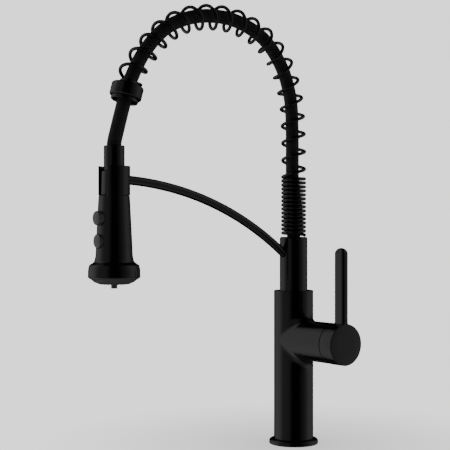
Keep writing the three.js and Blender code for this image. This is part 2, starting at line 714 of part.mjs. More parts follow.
function spring() {
  const curve = new SpringCurve(10);
  return swept(curve, WIRE_RADIUS, 5, curve.steps);
}

function hose() {
  const end = inSpoutPlane(REACH, hoseEnd);
  const collarEntry = alongCollar(-3);
  const collarExit = alongCollar(COLLAR_LENGTH / 2);
  const belowCollar = onArch([0.984, 0.47]);
  const route = [
    inSpoutPlane(0, hoseFoot), inSpoutPlane(0, RISER_TOP - SEAT_HEIGHT), ...HOSE_ARCH.map(onArch),
    collarEntry, collarExit, belowCollar, inSpoutPlane(REACH, hoseEnd + 9), end,
  ];
  return swept(new THREE.CatmullRomCurve3(route), HOSE_RADIUS, 8, 48, HOSE_BORE);
}

// ---------------------------------------------------------------- end collar, dock arm and ring

const hoseMouth = HOSE_RADIUS + 1.45;

/** Collar in its own frame, Z pointing back up the hose; its spigot enters the spring's last turn. */
function springEndCollar() {
  const half = COLLAR_LENGTH / 2;
  const spigot = COIL_RADIUS - WIRE_RADIUS - 1.1;
  const spigotTop = half + 2 * WIRE_RADIUS + 0.5;
  return turned([
    [hoseMouth, -half], [COLLAR_RADIUS - COLLAR_CHAMFER, -half], [COLLAR_RADIUS, COLLAR_CHAMFER - half],
    [COLLAR_RADIUS, half - COLLAR_CHAMFER], [COLLAR_RADIUS - COLLAR_CHAMFER, half], [spigot, half],
    [spigot, spigotTop], [hoseMouth, spigotTop],
  ], FINE_SIDES);
}

function springEndRing() {
  const top = -COLLAR_LENGTH / 2 - GAP;
  const bottom = top - END_RING_LENGTH;
  const edge = 0.6;
  return turned([
    [END_RING_RADIUS - END_RING_WALL, bottom], [END_RING_RADIUS - edge, bottom],
    [END_RING_RADIUS, bottom + edge], [END_RING_RADIUS, top], [END_RING_RADIUS - END_RING_WALL, top],
  ], FINE_SIDES);
}

/** Centre line of the dock arm: one arc from the riser up to the back of the dock ring. */
function dockArmCurve() {
  const start = new THREE.Vector2(RISER_RADIUS, ARM_ROOT_Z);
  const end = new THREE.Vector2(REACH - dockOuter + DOCK_WALL / 2, DOCK_SCREW_Z);
  const chord = end.clone().sub(start);
  const sag = Math.sqrt(ARM_BEND ** 2 - (chord.length() / 2) ** 2);
  const across = new THREE.Vector2(chord.y, -chord.x).normalize().multiplyScalar(sag);
  const centre = start.clone().add(end).multiplyScalar(0.5).add(across);
  const angleOf = (point) => point.clone().sub(centre).angle();
  const first = angleOf(start) + ARM_ROOT_DEPTH / ARM_BEND;
  const last = angleOf(end);
  class ArmArc extends THREE.Curve {
    getPoint(t) {
      const angle = first + (last - first) * t;
      return inSpoutPlane(centre.x + ARM_BEND * Math.cos(angle), centre.y + ARM_BEND * Math.sin(angle));
    }
  }
  return new ArmArc();
}

function dockArm() {
  const bar = swept(dockArmCurve(), ARM_ROD_RADIUS, 12, 16);
  const insideRiser = rod(riserBore + GAP, ARM_ROOT_Z - 40, ARM_ROOT_Z + 40, FINE_SIDES);
  const ringSpace = rod(dockOuter + GAP, DOCK_Z - 40, DOCK_Z + 40, FINE_SIDES).translate(0, -REACH, 0);
  const screwHole = alongY(rod(DOCK_SCREW + GAP, 0, 14, 12), REACH - dockOuter - 12, DOCK_SCREW_Z);
  return cut(bar, insideRiser, ringSpace, screwHole);
}

/** Lays a solid that is drawn along Z along -Y instead, with its foot at the given distance. */
function alongY(solid, distance, height) {
  return solid.rotateX(Math.PI / 2).translate(0, -distance, height);
}

function dockRing() {
  const open = radians(DOCK_OPENING);
  const front = -Math.PI / 2;
  const section = new THREE.Shape();
  section.absarc(0, 0, dockOuter, front + open, front + 2 * Math.PI - open, false);
  section.absarc(0, 0, dockInner, front + 2 * Math.PI - open, front + open, true);
  const ring = closed(new THREE.ExtrudeGeometry(section, {
    depth: DOCK_HEIGHT, bevelEnabled: false, curveSegments: 28,
  }));
  ring.translate(0, -REACH, dockBottom);
  const hole = alongY(rod(DOCK_SCREW + GAP, 0, 10, 12), REACH - dockOuter - 5, DOCK_SCREW_Z);
  const sinkBack = REACH - dockInner - DOCK_SCREW_SINK;
  const sink = alongY(rod(DOCK_SCREW_HEAD + GAP, 0, 10, 16), sinkBack, DOCK_SCREW_Z);
  return cut(ring, hole, sink);
}

function dockRingScrew() {
  const shank = alongY(rod(DOCK_SCREW, 0, 12, 12), REACH - dockInner - 12, DOCK_SCREW_Z);
  const headBack = REACH - dockInner - DOCK_SCREW_SINK + GAP;
  return join(shank, alongY(rod(DOCK_SCREW_HEAD, 0, DOCK_SCREW_SINK - GAP, 16), headBack, DOCK_SCREW_Z));
}

// ---------------------------------------------------------------- spray head
// Drawn about the spray's own axis, with Z = 0 at the dock ring's lower edge.

const neckBottom = DOCK_HEIGHT - DOCK_COLLAR_DROP;
const nippleSeat = NECK_TOP - NUT_SOCKET;
const nippleFlange = 2.1;
const hoseEnd = dockBottom + nippleSeat + nippleFlange + 0.4;
const faceTop = FACE_DEPTH - SPRAY_LENGTH;

function hoseSwivelNut() {
  const socket = HOSE_RADIUS + 0.55;
  const bore = NIPPLE_RADIUS + GAP;
  return turned([
    [bore, neckBottom + GAP], [NECK_RADIUS - 0.3, neckBottom + GAP], [NECK_RADIUS, neckBottom + 1],
    [NECK_RADIUS - 0.3, NECK_TOP - 0.8], [NECK_RADIUS - 1.1, NECK_TOP], [socket, NECK_TOP],
    [socket, nippleSeat - GAP], [bore, nippleSeat - GAP],
  ]);
}

const nippleGroove = NIPPLE_BOTTOM + 3;

function hoseNipple() {
  const half = ORING_SECTION + GAP;
  const groove = NIPPLE_RADIUS - ORING_GROOVE;
  const barbTop = nippleSeat + 8;
  return turned([
    [NIPPLE_BORE, NIPPLE_BOTTOM], [NIPPLE_RADIUS, NIPPLE_BOTTOM], [NIPPLE_RADIUS, nippleGroove - half],
    [groove, nippleGroove - half], [groove, nippleGroove + half], [NIPPLE_RADIUS, nippleGroove + half],
    [NIPPLE_RADIUS, nippleSeat], [HOSE_RADIUS, nippleSeat], [HOSE_RADIUS, nippleSeat + nippleFlange],
    [BARB_RADIUS, nippleSeat + nippleFlange], [BARB_RADIUS, barbTop], [NIPPLE_BORE, barbTop],
  ]);
}

function nippleOring() {
  return oRing(NIPPLE_RADIUS - ORING_SEAT, nippleGroove, ORING_SECTION);
}

function dockingCollar() {
  const bore = BODY_NECK_RADIUS + GAP;
  const edge = 0.6;
  const top = DOCK_COLLAR_RADIUS - 0.5;
  return turned([
    [bore, DOCK_COLLAR_BOTTOM], [DOCK_COLLAR_RADIUS, DOCK_COLLAR_BOTTOM], [top, neckBottom - edge],
    [top - edge, neckBottom], [bore, neckBottom],
  ], FINE_SIDES);
}

const sprayTop = DOCK_COLLAR_RADIUS + SPRAY_STEP;
const gripLength = SPRAY_LENGTH - FACE_DEPTH - BELL_HEIGHT;

/** Radius of the grip's outside at a height below the dock. */
function gripRadius(drop) {
  return sprayTop + GRIP_FLARE * (drop / FLARE_DROP) ** FLARE_POWER;
}

/** One moulded shell: threaded neck, slightly flared grip and a wide bell at the foot. */
function sprayBody() {
  const drops = [1, gripLength * 0.35, gripLength * 0.67, gripLength];
  const grip = drops.map((drop) => [gripRadius(drop), -drop]);
  const inside = drops.map((drop) => [gripRadius(drop) - SPRAY_WALL, -Math.max(drop, 3)]);
  const last = gripRadius(gripLength);
  const foot = faceTop + GAP / 2;
  const bell = [
    [last + 0.9, 4.2], [last + 2, 6.6], [BELL_RADIUS - 2.6, 8.6], [BELL_RADIUS - 0.9, 10], [BELL_RADIUS - 0.3, 14],
  ].map(([radius, drop]) => [radius, -gripLength - drop]);
  const bellInside = [...bell, [BELL_RADIUS, foot]].slice(1)
    .map(([radius, height]) => [radius - SPRAY_WALL, Math.max(height - 1.8, foot)]).reverse();
  const bore = NIPPLE_RADIUS + GAP;
  const shell = turned([
    [bore, neckBottom - GAP], [BODY_NECK_RADIUS, neckBottom - GAP], [BODY_NECK_RADIUS, -GAP],
    [sprayTop - 0.4, -GAP], ...grip, ...bell, [BELL_RADIUS, foot], ...bellInside, ...inside.reverse(), [bore, -3],
  ], FINE_SIDES);
  const hole = (drop) => alongY(rod(BUTTON_RADIUS + 0.4, BUTTON_BACK - 3, 40, 20), 0, -drop);
  return cut(shell, hole(UPPER_BUTTON_DROP), hole(LOWER_BUTTON_DROP));
}

/** Push button drawn out along -Y, with a rounded front edge. */
function button(drop, stand) {
  const front = gripRadius(drop) + stand;
  const profile = turned([
    [0, BUTTON_BACK], [BUTTON_RADIUS, BUTTON_BACK], [BUTTON_RADIUS, front - BUTTON_EDGE],
    [BUTTON_RADIUS - 0.35 * BUTTON_EDGE, front - 0.35 * BUTTON_EDGE], [BUTTON_RADIUS - BUTTON_EDGE, front],
    [0, front + 0.4],
  ], 20);
  return alongY(profile, 0, -drop);
}

const rockerY = -(BUTTON_BACK - GAP - ROCKER_PAD - ROCKER_THICKNESS / 2);
const rockerZ = -(UPPER_BUTTON_DROP + LOWER_BUTTON_DROP) / 2;

/** Rocker that pushes one button out as the other goes in, with a pad at each end; the origin is on its pin. */
function buttonRocker() {
  const reach = (LOWER_BUTTON_DROP - UPPER_BUTTON_DROP) / 2 + 1;
  const side = ROCKER_WIDTH / 2;
  const padFace = -ROCKER_THICKNESS / 2 - ROCKER_PAD;
  const plate = box([-side, side], [-ROCKER_THICKNESS / 2, ROCKER_THICKNESS / 2], [-reach, reach]);
  const hub = rod(ROCKER_HUB, -side, side, 12).rotateY(Math.PI / 2);
  const hole = rod(ROCKER_PIN + GAP, -side - 2, side + 2, 12).rotateY(Math.PI / 2);
  const pad = (low, high) => box([-side, side], [padFace, 0], [low, high]);
  return cut(join(plate, hub, pad(-reach, 2 - reach), pad(reach - 2, reach)), hole);
}

const postInside = ROCKER_WIDTH / 2 + 2 * GAP;
const postOutside = postInside + POST_WIDTH;

function rockerPin() {
  return rod(ROCKER_PIN, GAP - postOutside + 0.3, postOutside - GAP - 0.3, 12).rotateY(Math.PI / 2);
}

const blockTop = BLOCK_RISE - SPRAY_LENGTH + BELL_HEIGHT;
const blockBottom = blockTop - BLOCK_HEIGHT;

/** Diverter block with two posts that hold the rocker's pin, and a waterway through the middle. */
function diverterBlock() {
  const block = rod(gripRadius(gripLength) - SPRAY_WALL - 4 * GAP, blockBottom, blockTop);
  const post = (low, high) => box([low, high], [rockerY - 0.7, rockerY + 2.6], [blockTop - 1, rockerZ + 3]);
  const pinHole = rod(ROCKER_PIN + GAP, -9, 9, 12).rotateY(Math.PI / 2).translate(0, rockerY, rockerZ);
  const waterway = rod(COUPLING_BORE, blockBottom - 1, blockTop + 1, 12);
  return cut(join(block, post(-postOutside, -postInside), post(postInside, postOutside)), pinHole, waterway);
}

function flowTube() {
  const wide = NIPPLE_RADIUS - 0.2;
  const top = NIPPLE_BOTTOM - 1;
  return turned([
    [TUBE_BORE, blockTop + GAP], [TUBE_RADIUS, blockTop + GAP], [TUBE_RADIUS, -4], [wide, -2], [wide, top],
    [TUBE_BORE, top],
  ]);
}

const plugTop = faceTop + 2.5; // of the face's inner part, inside the bell

/** Rubber-nozzle face: a shallow dish under the bell, with the hole of the centre nozzle. */
function sprayFace() {
  const bottom = -SPRAY_LENGTH;
  const edge = BELL_RADIUS - 0.2;
  const plug = BELL_RADIUS - SPRAY_WALL - GAP;
  const hole = NOZZLE_RADIUS + GAP;
  return turned([
    [hole, bottom], [0.51 * BELL_RADIUS, bottom + 0.2], [0.62 * BELL_RADIUS, bottom + 0.9],
    [0.76 * BELL_RADIUS, bottom + 2.6], [0.88 * BELL_RADIUS, bottom + 5.4], [edge, faceTop - 0.6],
    [edge, faceTop - GAP / 2], [plug, faceTop - GAP / 2], [plug, plugTop], [hole, plugTop],
  ], FINE_SIDES);
}

function aeratorNozzle() {
  const bottom = -SPRAY_LENGTH - NOZZLE_LENGTH;
  const seat = plugTop + GAP;
  const flange = NOZZLE_RADIUS + 2.7;
  return turned([
    [NOZZLE_BORE, bottom], [NOZZLE_RADIUS, bottom], [NOZZLE_RADIUS, seat], [flange, seat],
    [flange, seat + NOZZLE_FLANGE], [NOZZLE_BORE, seat + NOZZLE_FLANGE],
  ], 20);
}

// ---------------------------------------------------------------- assembly

const faucet = new THREE.Group();

const root = new THREE.Group();
faucet.add(root);
piece(root, 'base_flange', baseFlange(), blackMetal());
piece(root, 'base_seal', baseSeal(), rubber());
piece(root, 'base_insert', baseInsert(), brass());
piece(root, 'hot_supply_tube', supplyTube(1), copper());
piece(root, 'cold_supply_tube', supplyTube(-1), copper());
piece(root, 'body_shell', bodyShell(), blackMetal());
piece(root, 'riser_bushing', riserBushing(), acetal());
piece(root, 'riser_oring', riserOring(), rubber());
piece(root, 'swivel_washer', swivelWasher(), acetal());

const valve = new THREE.Group();
valve.position.set(pivotX, 0, ARM_Z);
valve.rotation.y = Math.PI / 2;
faucet.add(valve);
piece(valve, 'valve_housing', valveHousing(), brass());
piece(valve, 'cartridge_base', cartridgeBase(), acetal());
piece(valve, 'fixed_disc', fixedDisc(), ceramic());
piece(valve, 'cartridge_case', cartridgeCase(), acetal());
piece(valve, 'cartridge_nut', cartridgeNut(), brass());
piece(valve, 'bonnet_dome', bonnetDome(), blackMetal());
piece(valve, 'cartridge_rotor', cartridgeRotor(), acetal());
piece(valve, 'stem_pin', stemPin(), steel());
piece(valve, 'disc_carrier', discCarrier(), acetal());
piece(valve, 'moving_disc', movingDisc(), ceramic());
piece(valve, 'stem', stem(), brass());
piece(valve, 'lever_handle', leverHandle(), blackMetal());
piece(valve, 'handle_cap', handleCap(), blackMetal());
piece(valve, 'handle_screw', handleScrew(), steel());

const spout = new THREE.Group();
faucet.add(spout);
piece(spout, 'riser_tube', riserTube(), blackMetal());
piece(spout, 'hose_coupling', hoseCoupling(), brass());
piece(spout, 'coupling_oring_lower', couplingOring(grooveHeights[0]), rubber());
piece(spout, 'coupling_oring_upper', couplingOring(grooveHeights[1]), rubber());
piece(spout, 'spring_seat', springSeat(), acetal());
piece(spout, 'spring', spring(), blackMetal());
piece(spout, 'hose', hose(), braid());
piece(spout, 'dock_arm', dockArm(), blackMetal());
piece(spout, 'dock_ring', dockRing(), blackMetal());
piece(spout, 'dock_ring_screw', dockRingScrew(), steel());

const springEnd = new THREE.Group();
springEnd.position.copy(collarCentre);
springEnd.rotation.x = -collarTilt;
spout.add(springEnd);
piece(springEnd, 'spring_end_collar', springEndCollar(), blackMetal());
piece(springEnd, 'spring_end_ring', springEndRing(), blackMetal());

const spray = new THREE.Group();
spray.position.set(0, -REACH, dockBottom);
faucet.add(spray);
piece(spray, 'hose_swivel_nut', hoseSwivelNut(), blackMetal());
piece(spray, 'hose_nipple', hoseNipple(), brass());
piece(spray, 'nipple_oring', nippleOring(), rubber());
piece(spray, 'docking_collar', dockingCollar(), blackPlastic());
piece(spray, 'spray_body', sprayBody(), blackPlastic());
piece(spray, 'flow_tube', flowTube(), acetal());
piece(spray, 'diverter_block', diverterBlock(), acetal());
piece(spray, 'spray_face', sprayFace(), rubber());
piece(spray, 'aerator_nozzle', aeratorNozzle(), blackPlastic());
piece(spray, 'upper_button', button(UPPER_BUTTON_DROP, UPPER_STAND), blackPlastic());
piece(spray, 'lower_button', button(LOWER_BUTTON_DROP, LOWER_STAND), blackPlastic());
for (const [name, geometry, material] of [
  ['button_rocker', buttonRocker(), acetal()],
  ['rocker_pin', rockerPin(), steel()],
]) {
  piece(spray, name, geometry, material).position.set(0, rockerY, rockerZ);
}

export default faucet;
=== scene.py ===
"""Looks of the spring-spout kitchen faucet: fine meshes, materials, studio and camera.

Metres throughout; lengths that are easier to read in millimetres are written n * MM.
The spout's plane is the YZ plane: "across" is the distance from the body's axis toward the spray.
"""

import json
import math

import bmesh
import bpy
import numpy as np
from mathutils import Matrix, Vector

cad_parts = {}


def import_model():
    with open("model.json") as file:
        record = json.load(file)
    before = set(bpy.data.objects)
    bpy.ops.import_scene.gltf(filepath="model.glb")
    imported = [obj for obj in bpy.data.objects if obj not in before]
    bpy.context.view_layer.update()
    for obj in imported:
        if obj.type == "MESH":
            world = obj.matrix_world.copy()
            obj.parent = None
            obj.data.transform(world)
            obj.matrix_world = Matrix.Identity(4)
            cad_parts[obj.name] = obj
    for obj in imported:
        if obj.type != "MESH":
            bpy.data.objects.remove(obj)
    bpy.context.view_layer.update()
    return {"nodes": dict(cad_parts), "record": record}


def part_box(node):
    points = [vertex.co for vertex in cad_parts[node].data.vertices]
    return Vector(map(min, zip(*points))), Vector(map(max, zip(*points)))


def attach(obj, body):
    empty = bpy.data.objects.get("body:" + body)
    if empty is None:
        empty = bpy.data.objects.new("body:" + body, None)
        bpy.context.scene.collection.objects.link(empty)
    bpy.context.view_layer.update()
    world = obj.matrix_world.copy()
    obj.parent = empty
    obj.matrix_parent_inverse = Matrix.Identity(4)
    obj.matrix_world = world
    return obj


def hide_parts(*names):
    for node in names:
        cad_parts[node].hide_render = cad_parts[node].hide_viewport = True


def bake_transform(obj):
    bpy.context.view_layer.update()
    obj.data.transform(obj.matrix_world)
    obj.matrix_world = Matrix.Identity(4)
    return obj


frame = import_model()
record = frame["record"]

MM = 0.001
GAP = 0.3 * MM
TURN = 2 * math.pi


def middle(node):
    low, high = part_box(node)
    return (low + high) / 2


def size(node):
    low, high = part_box(node)
    return high - low


# ---------------------------------------------------------------- sizes, most of them read from the frame

BODY_RADIUS = -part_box("body_shell")[0].x
BODY_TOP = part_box("body_shell")[1].z
BODY_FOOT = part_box("body_shell")[0].z
ARM_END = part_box("body_shell")[1].x
ARM_Z = middle("handle_cap").z
FLANGE_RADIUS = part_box("base_flange")[1].x
FLANGE_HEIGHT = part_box("base_flange")[1].z
RISER_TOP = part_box("riser_tube")[1].z
RISER_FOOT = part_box("riser_tube")[0].z
REACH = -middle("docking_collar").y
DOCK_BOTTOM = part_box("dock_ring")[0].z
DOCK_HEIGHT = size("dock_ring").z
DOCK_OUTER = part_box("dock_ring")[1].x
COLLAR_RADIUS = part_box("docking_collar")[1].x
HUB_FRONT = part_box("lever_handle")[1].x
HUB_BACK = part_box("lever_handle")[0].x
HUB_RADIUS = ARM_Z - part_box("lever_handle")[0].z
LEVER_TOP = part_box("lever_handle")[1].z
CAP_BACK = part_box("handle_cap")[0].x
CAP_RADIUS = size("handle_cap").y / 2
SPRAY_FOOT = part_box("spray_body")[0].z
SPRAY_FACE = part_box("spray_face")[0].z
BELL_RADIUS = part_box("spray_body")[1].x
NUT_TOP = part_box("hose_swivel_nut")[1].z
NUT_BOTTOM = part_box("hose_swivel_nut")[0].z
NUT_RADIUS = size("hose_swivel_nut").x / 2
HOSE_RADIUS = size("hose").x / 2
HOSE_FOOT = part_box("hose")[0].z
WIRE_RADIUS = 1.9 * MM
COIL_RADIUS = size("spring").x / 2 - WIRE_RADIUS
ARCH_TOP = 485.3 * MM
RISER_STEP = 1.45 * MM
RISER_RADIUS = COIL_RADIUS + WIRE_RADIUS + RISER_STEP

# sizes inside the pieces, which no box of the frame shows
SWIVEL_GAP = 0.45 * MM
BODY_WALL = 3.35 * MM
BODY_LID = 7.7 * MM
BODY_EDGE = 0.5 * MM
ARM_CHAMFER = 0.7 * MM
FOOT_EDGE = 0.25 * MM
TEE_FILLET = 13 * MM
FLANGE_EDGE = 1.2 * MM
FLANGE_ROUND = 2.7 * MM
RISER_WALL = 3.1 * MM
RISER_CHAMFER = 1.4 * MM
RISER_FOOT_RING = 3.7 * MM
PIVOT_INSET = 10.2 * MM
DOME_WALL = 2.3 * MM
DOME_FOOT = 10.5 * MM  # along the arm, from the pivot
DOME_MOUTH = 37  # degrees from the arm's axis
COLLAR_SLOPE = 0.287  # of the end collar's axis: share of the reach over share of the arch's height
COLLAR_CHAMFER = 1.1 * MM
COLLAR_PLAY = 1.45 * MM  # round the hose
DOCK_WALL = 2.55 * MM
SPRAY_WALL = 2.6 * MM
SPRAY_STEP = 2.45 * MM
SPRAY_LID = 3 * MM
GRIP_FLARE = 1.25 * MM  # gain in the grip's radius over the first FLARE_DROP of its length
FLARE_DROP = 22 * MM
FLARE_POWER = 0.9
SPRAY_BORE = 6.2 * MM
BUTTON_PLAY = 0.25 * MM


# ---------------------------------------------------------------- materials

def new_material(name, base, roughness, metallic=0.0, specular=0.5):
    """A principled material; returns it with its node tree and shader."""
    material = bpy.data.materials.new(name)
    material.use_nodes = True
    tree = material.node_tree
    shader = tree.nodes["Principled BSDF"]
    shader.inputs["Base Color"].default_value = (*base, 1)
    shader.inputs["Roughness"].default_value = roughness
    shader.inputs["Metallic"].default_value = metallic
    shader.inputs["Specular IOR Level"].default_value = specular
    return material, tree, shader


def noise(tree, scale, detail=3.0, roughness=0.55):
    """Noise in object space, in cells per metre."""
    place = tree.nodes.new("ShaderNodeTexCoord")
    texture = tree.nodes.new("ShaderNodeTexNoise")
    texture.inputs["Scale"].default_value = scale
    texture.inputs["Detail"].default_value = detail
    texture.inputs["Roughness"].default_value = roughness
    tree.links.new(place.outputs["Object"], texture.inputs["Vector"])
    return texture.outputs["Fac"]


def spread(tree, value, low, high, start=0.3, end=0.7):
    """Maps a 0-1 value to the range low to high."""
    node = tree.nodes.new("ShaderNodeMapRange")
    node.inputs["From Min"].default_value = start
    node.inputs["From Max"].default_value = end
    node.inputs["To Min"].default_value = low
    node.inputs["To Max"].default_value = high
    tree.links.new(value, node.inputs["Value"])
    return node.outputs["Result"]


def bump(tree, shader, height, depth, strength=1.0):
    node = tree.nodes.new("ShaderNodeBump")
    node.inputs["Distance"].default_value = depth
    node.inputs["Strength"].default_value = strength
    tree.links.new(height, node.inputs["Height"])
    tree.links.new(node.outputs["Normal"], shader.inputs["Normal"])
    return node


def edge_wear(tree, width):
    """1 on sharp outer edges and 0 elsewhere, broken up by noise."""
    bevel = tree.nodes.new("ShaderNodeBevel")
    bevel.inputs["Radius"].default_value = width
    bevel.samples = 4
    geometry = tree.nodes.new("ShaderNodeNewGeometry")
    dot = tree.nodes.new("ShaderNodeVectorMath")
    dot.operation = "DOT_PRODUCT"
    tree.links.new(bevel.outputs["Normal"], dot.inputs[0])
    tree.links.new(geometry.outputs["Normal"], dot.inputs[1])
    edge = spread(tree, dot.outputs["Value"], 1, 0, 0.8, 0.99)
    broken = spread(tree, noise(tree, 900, 4), 0, 1, 0.42, 0.62)
    return maths(tree, "MULTIPLY", edge, broken)


def maths(tree, operation, *values):
    """One math node on one or two values."""
    node = tree.nodes.new("ShaderNodeMath")
    node.operation = operation
    for socket, value in zip(node.inputs, values):
        tree.links.new(value, socket)
    return node.outputs[0]


def mix_colour(tree, factor, first, second):
    node = tree.nodes.new("ShaderNodeMix")
    node.data_type = "RGBA"
    node.inputs[6].default_value = (*first, 1)
    node.inputs[7].default_value = (*second, 1)
    tree.links.new(factor, node.inputs[0])
    return node.outputs[2]


def coated(name, base, worn, roughness, grain, grain_depth, specular=0.5):
    """A black coating: fine grain, uneven gloss and slightly rubbed edges."""
    material, tree, shader = new_material(name, base, roughness, specular=specular)
    gloss = spread(tree, noise(tree, 45, 5), roughness - 0.03, roughness + 0.04)
    tree.links.new(gloss, shader.inputs["Roughness"])
    colour = mix_colour(tree, edge_wear(tree, 0.6 * MM), base, worn)
    tree.links.new(colour, shader.inputs["Base Color"])
    bump(tree, shader, noise(tree, grain, 2), grain_depth)
    return material


def metal(name, base, roughness, scale):
    material, tree, shader = new_material(name, base, roughness, metallic=1.0)
    gloss = spread(tree, noise(tree, scale, 4), roughness - 0.08, roughness + 0.12)
    tree.links.new(gloss, shader.inputs["Roughness"])
    dark = tuple(channel * 0.7 for channel in base)
    tree.links.new(mix_colour(tree, noise(tree, scale / 4, 3), base, dark), shader.inputs["Base Color"])
    bump(tree, shader, noise(tree, scale * 6, 2), 0.01 * MM)
    return material


def plain(name, base, roughness, scale=300):
    material, tree, shader = new_material(name, base, roughness)
    gloss = spread(tree, noise(tree, scale / 5, 3), roughness - 0.06, roughness + 0.08)
    tree.links.new(gloss, shader.inputs["Roughness"])
    dark = tuple(channel * 0.85 for channel in base)
    tree.links.new(mix_colour(tree, noise(tree, scale / 3, 3), base, dark), shader.inputs["Base Color"])
    bump(tree, shader, noise(tree, scale * 5, 2), 0.015 * MM)
    return material


def braid_material():
    """Nylon yarn with painted shade, darker and less shiny between the strands, and fine threads along them
    from the tube's own UV map.
    """
    base = (0.011, 0.011, 0.012)
    material, tree, shader = new_material("hose_braid", base, 0.62, specular=0.45)
    shader.inputs["Sheen Weight"].default_value = 0.1
    shader.inputs["Sheen Roughness"].default_value = 0.5
    uv = tree.nodes.new("ShaderNodeUVMap")
    uv.uv_map = "yarn"
    threads = tree.nodes.new("ShaderNodeTexWave")
    threads.wave_type = "BANDS"
    threads.bands_direction = "X"
    threads.inputs["Scale"].default_value = 1.0
    threads.inputs["Distortion"].default_value = 0.6
    tree.links.new(uv.outputs["UV"], threads.inputs["Vector"])
    height = tree.nodes.new("ShaderNodeAttribute")
    height.attribute_name = "weave"
    # painted shade mask: 0 in the gaps between the strands, where shade falls, 1 on the crowns of the yarn
    painted_gap_shade = spread(tree, height.outputs["Fac"], 0, 1, 0.35, 0.95)
    # yarn colour with painted shade: near black in the gaps, dark grey on the crowns
    yarn = mix_colour(tree, painted_gap_shade, (0.001, 0.001, 0.001), (0.07, 0.07, 0.072))
    tree.links.new(yarn, shader.inputs["Base Color"])
    # painted shade on the reflection: none in the gaps, more on the crowns
    tree.links.new(spread(tree, painted_gap_shade, 0.0, 0.6), shader.inputs["Specular IOR Level"])
    tree.links.new(spread(tree, noise(tree, 1500, 2), 0.55, 0.75), shader.inputs["Roughness"])
    bump(tree, shader, threads.outputs["Fac"], 0.05 * MM)
    return material


MATERIALS = {
    "black_metal": coated("black_metal", (0.005, 0.005, 0.0055), (0.02, 0.02, 0.021), 0.16, 2600, 0.002 * MM),
    "black_plastic": coated(
        "black_plastic", (0.006, 0.006, 0.0066), (0.016, 0.016, 0.017), 0.18, 1900, 0.003 * MM,
    ),
    "button_plastic": coated("button_plastic", (0.12, 0.12, 0.122), (0.2, 0.2, 0.2), 0.3, 1500, 0.01 * MM),
    "hose_braid": braid_material(),
    "black_rubber": plain("black_rubber", (0.008, 0.008, 0.008), 0.7),
    "brass": metal("brass", (0.62, 0.45, 0.21), 0.3, 260),
    "copper": metal("copper", (0.72, 0.4, 0.26), 0.28, 300),
    "steel": metal("steel", (0.55, 0.56, 0.57), 0.28, 400),
    "acetal": plain("acetal", (0.78, 0.77, 0.72), 0.45),
    "ceramic": plain("ceramic", (0.85, 0.82, 0.76), 0.18),
}


# ---------------------------------------------------------------- mesh tools

def finish_piece(name, mesh_data, slot, body, nodes, smooth_angle=40):
    """Makes the object of a finished mesh, gives it its material, and ties it to the frame."""
    mesh = bpy.data.meshes.new(name)
    mesh_data.to_mesh(mesh)
    mesh_data.free()
    obj = bpy.data.objects.new(name, mesh)
    bpy.context.scene.collection.objects.link(obj)
    mesh.materials.append(MATERIALS[slot])
    mesh.shade_smooth()
    mesh.set_sharp_from_angle(angle=math.radians(smooth_angle))
    if body:
        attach(obj, body)
    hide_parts(*nodes)
    return obj


def clean(mesh, distance=1e-6):
    bmesh.ops.remove_doubles(mesh, verts=mesh.verts, dist=distance)
    bmesh.ops.dissolve_degenerate(mesh, edges=mesh.edges, dist=distance / 10)
    bmesh.ops.recalc_face_normals(mesh, faces=mesh.faces)
    return mesh


def rounded(outline, closed_loop=True):
    """Rounds the corners of an outline whose points are (radius, height[, fillet]), lengths in metres."""
    points = []
    count = len(outline)
    for i, point in enumerate(outline):
        fillet = point[2] if len(point) > 2 else 0
        here = Vector(point[:2])
        ends = not closed_loop and i in (0, count - 1)
        if fillet <= 0 or ends:
            points.append(here)
            continue
        before = Vector(outline[i - 1][:2]) - here
        after = Vector(outline[(i + 1) % count][:2]) - here
        corner = before.angle(after)
        run = min(fillet / math.tan(corner / 2), 0.48 * before.length, 0.48 * after.length)
        radius = run * math.tan(corner / 2)
        start = here + before.normalized() * run
        finish = here + after.normalized() * run
        bisector = (before.normalized() + after.normalized()).normalized()
        centre = here + bisector * (radius / math.sin(corner / 2))
        steps = max(2, round(math.degrees(math.pi - corner) / 12))
        first = start - centre
        sweep = first.angle_signed(finish - centre)
        for k in range(steps + 1):
            turned_arm = first.copy()
            turned_arm.rotate(Matrix.Rotation(-sweep * k / steps, 2))
            points.append(centre + turned_arm)
    return points


def lathe(outline, sides=128, closed_loop=True):
    """Turns (radius, height) points about Z; a loop closes on itself, a line ends on the axis."""
    mesh = bmesh.new()
    rings = []
    for radius, height in outline:
        if radius < 1e-7:
            rings.append([mesh.verts.new((0, 0, height))] * sides)
        else:
            angles = [TURN * k / sides for k in range(sides)]
            spots = [(radius * math.cos(a), radius * math.sin(a), height) for a in angles]
            rings.append([mesh.verts.new(spot) for spot in spots])
    pairs = list(zip(rings, rings[1:]))
    if closed_loop:
        pairs.append((rings[-1], rings[0]))
    for low, high in pairs:
        for k in range(sides):
            corners = [low[k], low[(k + 1) % sides], high[(k + 1) % sides], high[k]]
            unique = list(dict.fromkeys(corners))
            if len(unique) > 2:
                mesh.faces.new(unique)
    bmesh.ops.recalc_face_normals(mesh, faces=mesh.faces)
    return mesh


def turned(name, outline, slot, body, nodes, place=Matrix.Identity(4), sides=128, closed_loop=True):
    """A lathe-turned piece with rounded corners, set down by a matrix."""
    mesh = lathe(rounded(outline, closed_loop), sides, closed_loop)
    mesh.transform(place)
    return finish_piece(name, mesh, slot, body, nodes)


def loose_solid(name, mesh_data, smooth_angle=40):
    """An object that only takes part in a join or a cut."""
    data = bpy.data.meshes.new(name)
    mesh_data.to_mesh(data)
    mesh_data.free()
    data.shade_smooth()
    data.set_sharp_from_angle(angle=math.radians(smooth_angle))
    obj = bpy.data.objects.new(name, data)
    bpy.context.scene.collection.objects.link(obj)
    return obj


